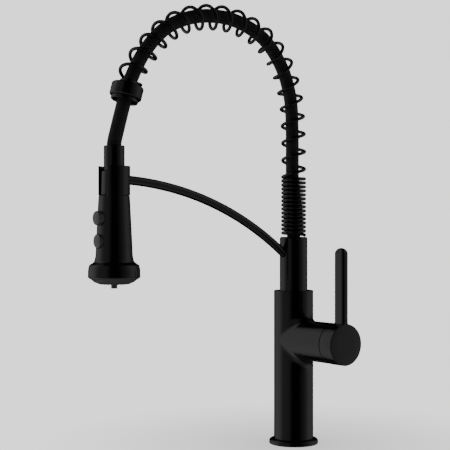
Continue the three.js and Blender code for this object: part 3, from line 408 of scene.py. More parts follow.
def combine(obj, other, operation):
    """Joins the other solid to the object's mesh, or cuts it away, and removes it."""
    modifier = obj.modifiers.new("combine", "BOOLEAN")
    modifier.object = other
    modifier.operation = operation
    modifier.solver = "EXACT"
    depsgraph = bpy.context.evaluated_depsgraph_get()
    result = bpy.data.meshes.new_from_object(obj.evaluated_get(depsgraph))
    obj.modifiers.remove(modifier)
    old = obj.data
    obj.data = result
    bpy.data.meshes.remove(old)
    bpy.data.objects.remove(other)


def merge(first, second):
    """Adds the second mesh to the first."""
    holder = bpy.data.meshes.new("part")
    second.to_mesh(holder)
    second.free()
    first.from_mesh(holder)
    bpy.data.meshes.remove(holder)
    return first


def catmull(points, steps):
    """Points of a centripetal Catmull-Rom curve, the same that the frame's routes follow."""
    route = [Vector(p) for p in points]
    route = [2 * route[0] - route[1], *route, 2 * route[-1] - route[-2]]
    result = []
    for i in range(len(points) - 1):
        p0, p1, p2, p3 = route[i:i + 4]
        d0, d1, d2 = [math.sqrt((b - a).length) for a, b in ((p0, p1), (p1, p2), (p2, p3))]
        t1 = ((p1 - p0) / d0 - (p2 - p0) / (d0 + d1) + (p2 - p1) / d1) * d1
        t2 = ((p2 - p1) / d1 - (p3 - p1) / (d1 + d2) + (p3 - p2) / d2) * d1
        for k in range(steps):
            t = k / steps
            result.append(p1 + t1 * t + (-3 * p1 + 3 * p2 - 2 * t1 - t2) * t * t
                          + (2 * p1 - 2 * p2 + t1 + t2) * t ** 3)
    result.append(Vector(points[-1]))
    return result


class Path:
    """A curve that is walked by length."""

    def __init__(self, points):
        self.points = np.array([list(p) for p in points])
        lengths = np.linalg.norm(np.diff(self.points, axis=0), axis=1)
        self.along = np.concatenate([[0], np.cumsum(lengths)])
        self.length = self.along[-1]

    def at(self, distance):
        return Vector([np.interp(distance, self.along, self.points[:, k]) for k in range(3)])

    def tangent(self, distance, step=0.4 * MM):
        return (self.at(min(distance + step, self.length)) - self.at(max(distance - step, 0))).normalized()


SIDE = Vector((1, 0, 0))  # square to the spout's plane


def tube_mesh(path, start, end, steps, sides, radius_at, uv=None):
    """A round bar in the spout's plane with flat ends; radius_at(angle, distance) shapes its outside."""
    mesh = bmesh.new()
    layer = mesh.loops.layers.uv.new("yarn") if uv else None
    weave = mesh.verts.layers.float.new("weave") if uv else None
    rings = []
    for i in range(steps + 1):
        distance = start + (end - start) * i / steps
        centre = path.at(distance)
        front = path.tangent(distance).cross(SIDE).normalized()
        ring = []
        for k in range(sides):
            angle = TURN * k / sides
            direction = SIDE * math.cos(angle) + front * math.sin(angle)
            vertex = mesh.verts.new(centre + direction * radius_at(angle, distance))
            if uv:
                vertex[weave] = braid_height(angle, distance)
            ring.append(vertex)
        rings.append(ring)
    for i in range(steps):
        for k in range(sides):
            after = (k + 1) % sides
            face = mesh.faces.new([rings[i][k], rings[i][after], rings[i + 1][after], rings[i + 1][k]])
            if uv:
                for loop, (a, b) in zip(face.loops, ((k, i), (k + 1, i), (k + 1, i + 1), (k, i + 1))):
                    loop[layer].uv = uv(TURN * a / sides, start + (end - start) * b / steps)
    mesh.faces.new(list(reversed(rings[0])))
    mesh.faces.new(rings[-1])
    bmesh.ops.recalc_face_normals(mesh, faces=mesh.faces)
    return mesh


def skin(mesh, rings):
    """Faces between closed rings of the same vertex count, and one face over each end."""
    count = len(rings[0])
    for low, high in zip(rings, rings[1:]):
        for k in range(count):
            mesh.faces.new([low[k], low[(k + 1) % count], high[(k + 1) % count], high[k]])
    mesh.faces.new(rings[0])
    mesh.faces.new(rings[-1])


# ---------------------------------------------------------------- camera

CAMERA_DISTANCE = 1357.9 * MM  # along the line of sight, to the body's axis
CAMERA_HEIGHT = 254.9 * MM
BODY_OFFSET = 80.2 * MM  # body axis to the right of the line of sight
VIEW_TURN = math.radians(53.4)

camera_data = bpy.data.cameras.new("camera")
camera_data.lens = 92.9
camera_data.sensor_width = 36
camera = bpy.data.objects.new("camera", camera_data)
toward_camera = Vector((math.sin(VIEW_TURN), -math.cos(VIEW_TURN), 0))
to_the_right = Vector((math.cos(VIEW_TURN), math.sin(VIEW_TURN), 0))
camera.location = toward_camera * CAMERA_DISTANCE - to_the_right * BODY_OFFSET + Vector((0, 0, CAMERA_HEIGHT))
camera.rotation_euler = (math.pi / 2, 0, VIEW_TURN)
bpy.context.scene.collection.objects.link(camera)
bpy.context.scene.camera = camera


# ---------------------------------------------------------------- base and body

def base_flange():
    bore = BODY_RADIUS - BODY_WALL
    outline = [
        (bore, 0, 0.2 * MM), (FLANGE_RADIUS, 0, FLANGE_EDGE),
        (FLANGE_RADIUS, FLANGE_HEIGHT, FLANGE_ROUND), (bore, FLANGE_HEIGHT, 0.1 * MM),
    ]
    turned("flange_fine", outline, "black_metal", "base", ["base_flange"], sides=160)


def tee_rows(radius, fillet, top, bottom, end):
    """Patches of an upright and a side arm of one radius, with a rolling-ball fillet between them."""
    sides, grown = 144, radius + fillet
    around = [TURN * k / sides - math.pi for k in range(sides + 1)]
    front = [math.pi * k / (sides // 2) - math.pi / 2 for k in range(sides // 2 + 1)]
    patches = []
    for side, goal in ((1, top), (-1, bottom)):
        rise = lambda a: ARM_Z + side * grown * max(math.cos(a), 0)
        crossing = [Vector((radius * math.cos(a), radius * math.sin(a), rise(a))) for a in around]
        rows = [crossing]
        steps = 10
        for i in range(1, steps + 1):
            rows.append([Vector((v.x, v.y, v.z + (goal - v.z) * i / steps)) for v in crossing])
        patches.append(rows)
        if fillet:
            rows = []
            blend_steps = 10
            for i in range(blend_steps + 1):
                row = []
                for t in front:
                    x = grown * math.cos(t)
                    centre = Vector((x, grown * math.sin(t), ARM_Z + side * x))
                    first = Vector((-math.cos(t), -math.sin(t), 0))
                    second = Vector((0, -math.sin(t), -side * math.cos(t)))
                    row.append(centre + first.slerp(second, i / blend_steps, first) * fillet)
                rows.append(row)
            patches.append(rows)
        start = [Vector((grown * math.cos(t), radius * math.sin(t), ARM_Z + side * radius * math.cos(t)))
                 for t in front]
        rows = []
        for i in range(7):
            rows.append([Vector((v.x + (end - v.x) * i / 6, v.y, v.z)) for v in start])
        patches.append(rows)
    return patches


def add_rows(mesh, rows):
    grid = [[mesh.verts.new(point) for point in row] for row in rows]
    for low, high in zip(grid, grid[1:]):
        for k in range(len(low) - 1):
            mesh.faces.new([low[k], low[k + 1], high[k + 1], high[k]])


def ring_row(radius, height, sides=144):
    angles = [TURN * k / sides - math.pi for k in range(sides + 1)]
    return [Vector((radius * math.cos(a), radius * math.sin(a), height)) for a in angles]


def arm_row(radius, x, sides=144):
    """A closed row round the arm, in the order that the two half patches share."""
    half = sides // 2
    angles = [math.pi * k / half - math.pi / 2 for k in range(half + 1)]
    upper = [Vector((x, radius * math.sin(t), ARM_Z + radius * math.cos(t))) for t in angles]
    lower = [Vector((x, radius * math.sin(t), ARM_Z - radius * math.cos(t))) for t in reversed(angles)]
    return upper + lower[1:]


def body_shell():
    """The hollow tee: outside with its fillet, inside without, joined round the three openings."""
    mesh = bmesh.new()
    outer, bore = BODY_RADIUS, BODY_RADIUS - BODY_WALL
    edge, chamfer, foot_edge = BODY_EDGE, ARM_CHAMFER, FOOT_EDGE
    riser_hole = RISER_RADIUS + GAP
    lid = BODY_TOP - BODY_LID
    for rows in tee_rows(outer, TEE_FILLET, BODY_TOP - edge, BODY_FOOT + foot_edge, ARM_END - chamfer):
        add_rows(mesh, rows)
    for rows in tee_rows(bore, 0, lid, BODY_FOOT, ARM_END):
        add_rows(mesh, rows)
    bend = [math.radians(15 * k) for k in range(7)]
    top = [ring_row(outer - edge + edge * math.cos(a), BODY_TOP - edge + edge * math.sin(a)) for a in bend]
    add_rows(mesh, top + [ring_row(riser_hole + edge, BODY_TOP), ring_row(riser_hole, BODY_TOP - edge),
                          ring_row(riser_hole, lid), ring_row(bore, lid)])
    add_rows(mesh, [ring_row(outer, BODY_FOOT + foot_edge), ring_row(outer - foot_edge, BODY_FOOT),
                    ring_row(bore, BODY_FOOT)])
    add_rows(mesh, [
        arm_row(outer, ARM_END - chamfer), arm_row(outer - chamfer, ARM_END), arm_row(bore, ARM_END),
    ])
    finish_piece("body_fine", clean(mesh), "black_metal", "base", ["body_shell"], smooth_angle=35)


# ---------------------------------------------------------------- lever

ALONG_ARM = Matrix.Rotation(math.pi / 2, 4, "Y")
PIVOT_X = ARM_END - PIVOT_INSET
TO_VALVE = Matrix.Translation((PIVOT_X, 0, ARM_Z)) @ ALONG_ARM


def arc_points(radius, start, end, steps):
    """Arc about the origin as (radius from the axis, place along it); angles in degrees from the axis."""
    angles = [math.radians(start + (end - start) * k / steps) for k in range(steps + 1)]
    return [(radius * math.sin(a), radius * math.cos(a)) for a in angles]


LEVER_WIDTH = 15.4 * MM
LEVER_THICKNESS = 9 * MM
LEVER_CORNER = 3.2 * MM
LEVER_DOME = 6.8 * MM
HUB_SPHERE = math.hypot(9.5 * MM, BODY_RADIUS) + 0.27 * MM


def lever_section(grow, corner_steps=8):
    """Outline of the lever's bar at one height, grown by the root fillet except at the front face."""
    half_x, half_y = LEVER_WIDTH / 2, LEVER_THICKNESS / 2
    corner = LEVER_CORNER
    points = []
    for quarter, (sx, sy) in enumerate(((1, 1), (-1, 1), (-1, -1), (1, -1))):
        for k in range(corner_steps + 1):
            angle = math.pi / 2 * (quarter + k / corner_steps)
            x = sx * (half_x - corner) + corner * math.cos(angle)
            y = sy * (half_y - corner) + corner * math.sin(angle)
            normal = Vector((math.cos(angle), math.sin(angle)))
            if normal.x > 0:
                normal.x = 0
            points.append((x + normal.x * grow, y + normal.y * grow))
    return points


def lever_bar():
    """Bar that flares into the hub and ends in a dome."""
    mesh = bmesh.new()
    centre_x = HUB_FRONT - LEVER_WIDTH / 2
    flare = 2.2 * MM
    rows = []
    root = lever_section(flare)
    rows.append([(x, y, math.sqrt(HUB_RADIUS ** 2 - y * y) - 1.2 * MM) for x, y in root])
    for k in range(9):
        angle = math.pi / 2 * k / 8
        grow, rise = flare * (1 - math.sin(angle)), flare * (1 - math.cos(angle))
        rows.append([(x, y, math.sqrt(HUB_RADIUS ** 2 - y * y) + rise) for x, y in lever_section(grow)])
    shoulder = LEVER_TOP - ARM_Z - LEVER_DOME
    start = HUB_RADIUS + flare + 1.5 * MM
    for k in range(13):
        height = start + (shoulder - start) * k / 12
        rows.append([(x, y, height) for x, y in lever_section(0)])
    for k in range(1, 21):
        angle = math.pi / 2 * k / 20
        scale = max(math.cos(angle), 0.01)
        height = shoulder + LEVER_DOME * math.sin(angle)
        rows.append([(x * scale, y * scale, height) for x, y in lever_section(0)])
    skin(mesh, [[mesh.verts.new((centre_x + x, y, ARM_Z + z)) for x, y, z in row] for row in rows])
    return clean(mesh, 1e-5)


def lever_handle():
    front, back = HUB_FRONT - PIVOT_X, HUB_BACK - PIVOT_X
    rim = math.degrees(math.acos(back / HUB_SPHERE))
    recess, seat = CAP_RADIUS + 0.15 * MM, CAP_BACK - PIVOT_X - GAP
    bore, boss = 3.7 * MM, 14 * MM
    outline = [
        (bore, boss), (6.5 * MM, boss, 0.4 * MM), *arc_points(HUB_SPHERE, 15, rim, 10),
        (HUB_RADIUS, back, 0.15 * MM), (HUB_RADIUS, front, 0.45 * MM),
        (recess, front, 0.1 * MM), (recess, seat), (bore, seat),
    ]
    mesh = lathe(rounded(outline), 160)
    mesh.transform(TO_VALVE)
    lever = finish_piece("lever_fine", mesh, "black_metal", "lever", ["lever_handle"], smooth_angle=50)
    combine(lever, loose_solid("lever_bar", lever_bar(), smooth_angle=50), "UNION")
    face = front - 0.02 * MM
    cap = [
        (0, seat + GAP), (CAP_RADIUS, seat + GAP, 0.2 * MM), (CAP_RADIUS, face, 0.35 * MM),
        (CAP_RADIUS * 0.5, face), (0, face),
    ]
    turned("cap_fine", cap, "black_metal", "lever", ["handle_cap"], TO_VALVE, sides=160, closed_loop=False)


def bonnet_dome():
    dome = HUB_SPHERE - GAP
    foot = math.degrees(math.acos(DOME_FOOT / dome))
    inner = dome - DOME_WALL
    inner_foot = math.degrees(math.acos(DOME_FOOT / inner))
    outline = [*arc_points(dome, foot, DOME_MOUTH, 14), *arc_points(inner, DOME_MOUTH, inner_foot, 10)]
    turned("dome_fine", outline, "black_metal", "base", ["bonnet_dome"], TO_VALVE, sides=128)


# ---------------------------------------------------------------- riser, spring and hose

def riser_tube():
    bore = RISER_RADIUS - RISER_WALL
    foot = BODY_RADIUS - BODY_WALL - SWIVEL_GAP
    ring_top = RISER_FOOT + RISER_FOOT_RING
    outline = [
        (bore, RISER_FOOT), (foot, RISER_FOOT, 0.3 * MM), (foot, ring_top, 0.3 * MM),
        (RISER_RADIUS, ring_top), (RISER_RADIUS, RISER_TOP - RISER_CHAMFER, 0.5 * MM),
        (RISER_RADIUS - RISER_CHAMFER, RISER_TOP, 0.4 * MM), (bore, RISER_TOP, 0.3 * MM),
    ]
    turned("riser_fine", outline, "black_metal", "spout", ["riser_tube"])


ARCH_HEIGHT = ARCH_TOP - RISER_TOP


def in_plane(across, up):
    return Vector((0, -across, up))


def on_arch(across, up):
    return in_plane(across * REACH, RISER_TOP + up * ARCH_HEIGHT)


HOSE_ARCH = [
    (0.008, 0.31), (0.009, 0.51), (0.021, 0.662), (0.074, 0.805), (0.18, 0.926), (0.33, 0.993),
    (0.467, 1.006), (0.612, 0.983), (0.742, 0.92), (0.855, 0.799),
]
COIL_ARCH = [
    (0, 0.3), (0.002, 0.508), (0.018, 0.66), (0.071, 0.803), (0.178, 0.921), (0.329, 0.987),
    (0.467, 1), (0.611, 0.977), (0.739, 0.912), (0.853, 0.796),
]
END_COLLAR_TILT = math.atan2(COLLAR_SLOPE * REACH, ARCH_HEIGHT)
END_COLLAR_LENGTH = 14 * MM
END_COLLAR_RADIUS = COIL_RADIUS + WIRE_RADIUS + 2.5 * MM
END_RING_RADIUS = END_COLLAR_RADIUS - 2.6 * MM
END_RING_LENGTH = 3.8 * MM
END_RING_WALL = 3.4 * MM
SEAT_HEIGHT = 9.5 * MM
TIGHT_LENGTH = 68.2 * MM
TIGHT_PITCH = 2 * WIRE_RADIUS + 0.876 * MM
TIGHT_TURNS = TIGHT_LENGTH / TIGHT_PITCH
OPEN_PITCH = 20.3 * MM
SPRING_START = 0.12  # share of a turn

collar_centre = on_arch(0.938, 0.632)
collar_axis = in_plane(math.sin(END_COLLAR_TILT), -math.cos(END_COLLAR_TILT))


def coil_axis():
    end = collar_centre - collar_axis * (END_COLLAR_LENGTH / 2 + WIRE_RADIUS + 3 * GAP)
    start = in_plane(0, RISER_TOP + GAP + WIRE_RADIUS)
    return Path(catmull([start, *(on_arch(*p) for p in COIL_ARCH), end - collar_axis * 8 * MM, end], 40))


def spring():
    """One round wire: close turns on the riser, then open turns over the arch, with domed ends."""
    axis = coil_axis()
    turns = TIGHT_TURNS + (axis.length - TIGHT_LENGTH) / OPEN_PITCH
    steps, sides = round(turns * 48), 16
    centres = []
    for i in range(steps + 1):
        turn = turns * i / steps
        along = min(turn, TIGHT_TURNS) * TIGHT_PITCH + max(0, turn - TIGHT_TURNS) * OPEN_PITCH
        along = min(along, axis.length)
        front = axis.tangent(along).cross(SIDE).normalized()
        angle = TURN * (turn + SPRING_START)
        out = SIDE * math.cos(angle) + front * math.sin(angle)
        centres.append((axis.at(along) + out * COIL_RADIUS, out))
    mesh = bmesh.new()
    rings = []
    dome = [(math.cos(a), math.sin(a)) for a in (math.radians(d) for d in (80, 55, 30, 10))]
    for i, (centre, out) in enumerate(centres):
        ahead = (centres[min(i + 1, steps)][0] - centres[max(i - 1, 0)][0]).normalized()
        up = ahead.cross(out).normalized()
        out = up.cross(ahead).normalized()
        circle = [out * math.cos(TURN * k / sides) + up * math.sin(TURN * k / sides) for k in range(sides)]
        if i == 0:
            for shrink, back in dome:
                cap_centre = centre - ahead * WIRE_RADIUS * 0.6 * back
                rings.append([mesh.verts.new(cap_centre + c * WIRE_RADIUS * shrink) for c in circle])
        rings.append([mesh.verts.new(centre + c * WIRE_RADIUS) for c in circle])
        if i == steps:
            for shrink, fore in reversed(dome):
                cap_centre = centre + ahead * WIRE_RADIUS * 0.6 * fore
                rings.append([mesh.verts.new(cap_centre + c * WIRE_RADIUS * shrink) for c in circle])
    skin(mesh, rings)
    bmesh.ops.recalc_face_normals(mesh, faces=mesh.faces)
    finish_piece("spring_fine", mesh, "black_metal", "spout", ["spring"], smooth_angle=60)


def hose_route():
    end = in_plane(REACH, NUT_TOP - 6.5 * MM)
    points = [
        in_plane(0, HOSE_FOOT), in_plane(0, RISER_TOP - SEAT_HEIGHT), *(on_arch(*p) for p in HOSE_ARCH),
        collar_centre - collar_axis * 3 * MM, collar_centre + collar_axis * END_COLLAR_LENGTH / 2,
        on_arch(0.984, 0.47), end + Vector((0, 0, 9 * MM)), end,
    ]
    return Path(catmull(points, 40))


BRAID_STEP = 0.62 * MM  # length of one row of the hose's full mesh
BRAID_SIDES = 96
STRANDS = 16  # yarn bands that run each way round the hose
BRAID_PITCH = 44 * MM  # length in which a band goes once round
BRAID_DEPTH = 0.5 * MM


def braid_height(angle, distance):
    """Height of the woven surface, 0 to 1: two sets of bands that pass over and under each other."""
    right = STRANDS * (angle / TURN + distance / BRAID_PITCH)
    left = STRANDS * (angle / TURN - distance / BRAID_PITCH)
    crown_right = 1 - (2 * (right % 1) - 1) ** 2
    crown_left = 1 - (2 * (left % 1) - 1) ** 2
    over = 0.5 + 0.5 * math.cos(math.pi * (right + left)) * math.cos(math.pi * (right - left))
    return max(crown_right * (0.35 + 0.65 * over), crown_left * (1 - 0.65 * over))


def braid_radius(angle, distance):
    return HOSE_RADIUS - BRAID_DEPTH * (1 - braid_height(angle, distance))


def yarn_uv(angle, distance):
    return (STRANDS * 2.2 * (angle / TURN + distance / BRAID_PITCH), distance / BRAID_PITCH)


def hose():
    """The braided hose in two lengths that meet inside the end collar; the lower one can be pulled."""
    route = hose_route()
    collar = np.linalg.norm(route.points - np.array(collar_centre), axis=1).argmin()
    split = route.along[collar]
    fine = 1
    upper_steps = round(split / (BRAID_STEP * fine))
    mesh = tube_mesh(route, 0, split, upper_steps, BRAID_SIDES // fine, braid_radius, uv=yarn_uv)
    finish_piece("hose_upper", mesh, "hose_braid", "spout", ["hose"], smooth_angle=80)
    lower_steps = round((route.length - split) / (BRAID_STEP * fine))
    mesh = tube_mesh(route, split, route.length, lower_steps, BRAID_SIDES // fine, braid_radius, uv=yarn_uv)
    lower = finish_piece("hose_lower", mesh, "hose_braid", None, ["hose"], smooth_angle=80)
    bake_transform(lower)


# ---------------------------------------------------------------- end collar, dock arm and ring

def collar_place():
    """Frame of the spring's end collar: Z runs back up the hose."""
    return Matrix.Translation(collar_centre) @ Matrix.Rotation(-END_COLLAR_TILT, 4, "X")


def spring_end():
    half = END_COLLAR_LENGTH / 2
    mouth = HOSE_RADIUS + COLLAR_PLAY
    spigot = COIL_RADIUS - WIRE_RADIUS - 1.1 * MM
    spigot_top = half + 2 * WIRE_RADIUS + 0.5 * MM
    outline = [
        (mouth, -half, 0.3 * MM), (END_COLLAR_RADIUS - COLLAR_CHAMFER, -half, 0.4 * MM),
        (END_COLLAR_RADIUS, COLLAR_CHAMFER - half, 0.5 * MM),
        (END_COLLAR_RADIUS, half - COLLAR_CHAMFER, 0.8 * MM),
        (END_COLLAR_RADIUS - COLLAR_CHAMFER, half, 0.8 * MM), (spigot, half, 0.3 * MM),
        (spigot, spigot_top, 0.2 * MM), (mouth, spigot_top, 0.2 * MM),
    ]
    turned("collar_fine", outline, "black_metal", "spout", ["spring_end_collar"], collar_place())
    top = -half - GAP
    bottom = top - END_RING_LENGTH
    ring = [
        (END_RING_RADIUS - END_RING_WALL, bottom, 0.8 * MM), (END_RING_RADIUS, bottom, 1 * MM),
        (END_RING_RADIUS, top, 0.2 * MM), (END_RING_RADIUS - END_RING_WALL, top, 0.2 * MM),
    ]
    turned("end_ring_fine", ring, "black_metal", "spout", ["spring_end_ring"], collar_place())


ARM_ROD_RADIUS = 4.85 * MM
ARM_BEND = 379 * MM
ARM_ROOT_Z = 222.6 * MM
ARM_ROOT_DEPTH = 2.6 * MM  # how far the arm runs into the riser's wall
ARM_TIP_RISE = 1.1 * MM  # above the middle of the dock ring
ARM_TIP_Z = DOCK_BOTTOM + DOCK_HEIGHT / 2 + ARM_TIP_RISE


def dock_arm():
    """One arc from inside the riser's wall to the back of the dock ring."""
    start = Vector((RISER_RADIUS, ARM_ROOT_Z))
    end = Vector((REACH - DOCK_OUTER + DOCK_WALL / 2, ARM_TIP_Z))
    chord = end - start
    sag = math.sqrt(ARM_BEND ** 2 - (chord.length / 2) ** 2)
    centre = (start + end) / 2 + Vector((chord.y, -chord.x)).normalized() * sag
    angle_of = lambda p: math.atan2(p.y - centre.y, p.x - centre.x)
    first, last = angle_of(start) + ARM_ROOT_DEPTH / ARM_BEND, angle_of(end)
    points = []
    for k in range(121):
        angle = first + (last - first) * k / 120
        points.append(in_plane(centre.x + ARM_BEND * math.cos(angle), centre.y + ARM_BEND * math.sin(angle)))
    path = Path(points)
    mesh = tube_mesh(path, 0, path.length, 120, 40, lambda a, d: ARM_ROD_RADIUS)
    finish_piece("dock_arm_fine", mesh, "black_metal", "spout", ["dock_arm"], smooth_angle=60)


DOCK_OPENING = math.radians(35)


def dock_ring():
    """C-shaped ring with rounded cut edges, open toward -Y."""
    inner, outer = COLLAR_RADIUS + GAP, DOCK_OUTER
    wall = (outer - inner) / 2
    radius = inner + wall
    edge = 0.5 * MM
    corners = [(inner, 0), (outer, 0), (outer, DOCK_HEIGHT), (inner, DOCK_HEIGHT)]
    outline = rounded([(r, z, edge) for r, z in corners])
    mesh = bmesh.new()
    steps = 110
    rows = []
    start = -math.pi / 2 + DOCK_OPENING
    sweep = TURN - 2 * DOCK_OPENING
    ends = [(0, 1.0), (0.1, 0.55), (0.35, 0.2), (0.7, 0.05)]
    for place, inset in ends:
        rows.append((start + place * edge / radius, inset * edge))
    for k in range(steps + 1):
        rows.append((start + edge / radius + (sweep - 2 * edge / radius) * k / steps, 0))
    for place, inset in reversed(ends):
        rows.append((start + sweep - place * edge / radius, inset * edge))
    grid = []
    for angle, inset in rows:
        row = []
        for r, z in outline:
            squeezed_r = radius + (r - radius) * (1 - inset / wall)
            squeezed_z = DOCK_HEIGHT / 2 + (z - DOCK_HEIGHT / 2) * (1 - inset / (DOCK_HEIGHT / 2))
            row.append(mesh.verts.new((squeezed_r * math.cos(angle), squeezed_r * math.sin(angle) - REACH,
                                       DOCK_BOTTOM + squeezed_z)))
        grid.append(row)
    skin(mesh, grid)
    bmesh.ops.recalc_face_normals(mesh, faces=mesh.faces)
    finish_piece("dock_ring_fine", mesh, "black_metal", "spout", ["dock_ring"], smooth_angle=40)


# ---------------------------------------------------------------- spray head

TO_SPRAY = Matrix.Translation((0, -REACH, DOCK_BOTTOM))
NECK_RADIUS = 9 * MM
BUTTON_RADIUS = 7.5 * MM


def hose_swivel_nut():
    bottom, top = NUT_BOTTOM - DOCK_BOTTOM, NUT_TOP - DOCK_BOTTOM
    socket, bore = HOSE_RADIUS + 0.55 * MM, SPRAY_BORE
    shelf = top - 9.3 * MM
    outline = [
        (bore, bottom), (NUT_RADIUS, bottom, 0.5 * MM), (NUT_RADIUS, top, 0.7 * MM),
        (socket, top, 0.4 * MM), (socket, shelf), (bore, shelf),
    ]
    turned("swivel_nut_fine", outline, "black_metal", "hose_end", ["hose_swivel_nut"], TO_SPRAY)


def docking_collar():
    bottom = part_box("docking_collar")[0].z - DOCK_BOTTOM
    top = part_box("docking_collar")[1].z - DOCK_BOTTOM
    outline = [
        (NECK_RADIUS + GAP, bottom), (COLLAR_RADIUS, bottom, 0.3 * MM),
        (COLLAR_RADIUS - 0.5 * MM, top, 0.9 * MM), (NECK_RADIUS + GAP, top, 0.3 * MM),
    ]
    turned("docking_collar_fine", outline, "black_plastic", "spray", ["docking_collar"], TO_SPRAY)


SPRAY_TOP = COLLAR_RADIUS + SPRAY_STEP
BELL_HEIGHT = 22.1 * MM
SPRAY_LENGTH = DOCK_BOTTOM - SPRAY_FACE
FACE_DEPTH = 7.8 * MM
GRIP_LENGTH = SPRAY_LENGTH - FACE_DEPTH - BELL_HEIGHT


def grip_radius(drop):
    return SPRAY_TOP + GRIP_FLARE * (max(drop, 0) / FLARE_DROP) ** FLARE_POWER


def spray_outline():
    """Outer profile of the spray body, from its shoulder down to the rim of the face."""
    foot = SPRAY_FOOT - DOCK_BOTTOM
    points = [(SPRAY_TOP, -0.3 * MM, 0.35 * MM)]
    for k in range(1, 9):
        drop = GRIP_LENGTH * k / 8
        points.append((grip_radius(drop), -drop))
    last = grip_radius(GRIP_LENGTH)
    bell = [
        (last + 0.9 * MM, 4.2 * MM, 4 * MM), (last + 1.9 * MM, 6.6 * MM, 3 * MM),
        (BELL_RADIUS - 1.3 * MM, 9.5 * MM, 2.2 * MM), (BELL_RADIUS - 0.2 * MM, 14.5 * MM, 8 * MM),
    ]
    points += [(radius, -GRIP_LENGTH - drop, fillet) for radius, drop, fillet in bell]
    points.append((BELL_RADIUS, foot, 0.5 * MM))
    return points


def spray_body():
    wall = SPRAY_WALL
    foot = SPRAY_FOOT - DOCK_BOTTOM
    neck_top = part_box("spray_body")[1].z - DOCK_BOTTOM
    inside = [
        (BELL_RADIUS - wall, foot), (BELL_RADIUS - 3.2 * MM, foot + 8 * MM),
        (BELL_RADIUS - 5 * MM, foot + 12 * MM),
        (grip_radius(GRIP_LENGTH) - wall, -GRIP_LENGTH - 2 * MM), (SPRAY_TOP - wall, -SPRAY_LID),
    ]
    outline = [
        (SPRAY_BORE, neck_top), (NECK_RADIUS, neck_top), (NECK_RADIUS, -0.3 * MM), *spray_outline(),
        *inside, (SPRAY_BORE, -SPRAY_LID),
    ]
    shell = turned("spray_fine", outline, "black_plastic", "spray", ["spray_body"], TO_SPRAY, sides=192)
    for node in ("upper_button", "lower_button"):
        hole = button_solid(node, BUTTON_RADIUS + BUTTON_PLAY, 12 * MM, 4 * MM)
        combine(shell, hole, "DIFFERENCE")
    shell.data.shade_smooth()
    shell.data.set_sharp_from_angle(angle=math.radians(35))


def button_solid(node, radius, depth, proud):
    """A plain cylinder on a button's axis, used to cut its hole."""
    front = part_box(node)[0].y - proud
    place = Matrix.Translation((0, front, middle(node).z)) @ Matrix.Rotation(-math.pi / 2, 4, "X")
    mesh = lathe([(0, 0), (radius, 0), (radius, depth + proud), (0, depth + proud)], 64, closed_loop=False)
    mesh.transform(place)
    return loose_solid("cutter", mesh)


def button(node, body):
    """A round push button with a softly domed front."""
    low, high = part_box(node)
    length = high.y - low.y
    place = Matrix.Translation((0, high.y, middle(node).z)) @ Matrix.Rotation(math.pi / 2, 4, "X")
    dome = 1.3 * MM
    outline = [(0, 0), (BUTTON_RADIUS, 0, 0.2 * MM), (BUTTON_RADIUS, length - dome - 0.2 * MM, 1.6 * MM)]
    for k in range(1, 7):
        share = 1 - k / 7
        outline.append(((BUTTON_RADIUS - 0.5 * MM) * share, length - dome * share * share))
    outline.append((0, length))
    turned(node + "_fine", outline, "button_plastic", body, [node], place, sides=72, closed_loop=False)


NOZZLE_RADIUS = 3.3 * MM
NOZZLE_BORE = 1.7 * MM
NOZZLE_FLANGE = 6 * MM


def spray_face():
    """Shallow dish with rings of small spray nipples round the centre nozzle."""
    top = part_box("spray_face")[1].z - DOCK_BOTTOM
    bottom = SPRAY_FACE - DOCK_BOTTOM
    rim = SPRAY_FOOT - DOCK_BOTTOM - 0.3 * MM
    edge = BELL_RADIUS - 0.2 * MM
    outline = [
        (NOZZLE_RADIUS + GAP, bottom, 0.3 * MM), (BELL_RADIUS * 0.56, bottom + 0.4 * MM, 6 * MM),
        (BELL_RADIUS * 0.76, bottom + 2.6 * MM, 8 * MM), (BELL_RADIUS * 0.88, bottom + 5.4 * MM, 5 * MM),
        (edge, rim - 0.5 * MM, 0.5 * MM), (edge, rim), (BELL_RADIUS - 2.9 * MM, rim),
        (BELL_RADIUS - 2.9 * MM, top), (NOZZLE_RADIUS + GAP, top),
    ]
    nipple_outline = [
        (0, 1.6 * MM), (1.05 * MM, 1.6 * MM), (0.75 * MM, -0.4 * MM, 0.25 * MM), (0.3 * MM, -0.4 * MM),
        (0.3 * MM, 0.4 * MM), (0, 0.4 * MM),
    ]
    mesh = lathe(rounded(outline), 144)
    for ring, (radius, count) in enumerate(((7.5 * MM, 8), (11.5 * MM, 14), (15.5 * MM, 20))):
        rise = 0.15 * MM + (radius / (30 * MM)) ** 4 * 9 * MM
        for k in range(count):
            angle = TURN * (k + 0.5 * (ring % 2)) / count
            nipple = lathe(rounded(nipple_outline, False), 12, closed_loop=False)
            spot = (radius * math.cos(angle), radius * math.sin(angle), bottom + rise)
            nipple.transform(Matrix.Translation(spot))
            merge(mesh, nipple)
    mesh.transform(TO_SPRAY)
    finish_piece("spray_face_fine", mesh, "button_plastic", "spray", ["spray_face"], smooth_angle=45)


def centre_nozzle():
    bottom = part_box("aerator_nozzle")[0].z - DOCK_BOTTOM
    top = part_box("aerator_nozzle")[1].z - DOCK_BOTTOM
    seat = top - 1.8 * MM
    outline = [
        (NOZZLE_BORE, bottom, 0.2 * MM), (NOZZLE_RADIUS, bottom, 0.5 * MM), (NOZZLE_RADIUS, seat),
        (NOZZLE_FLANGE, seat), (NOZZLE_FLANGE, top), (NOZZLE_BORE, top),
    ]
    turned("nozzle_fine", outline, "button_plastic", "spray", ["aerator_nozzle"], TO_SPRAY, sides=64)


# ---------------------------------------------------------------- frame nodes that stay as they are

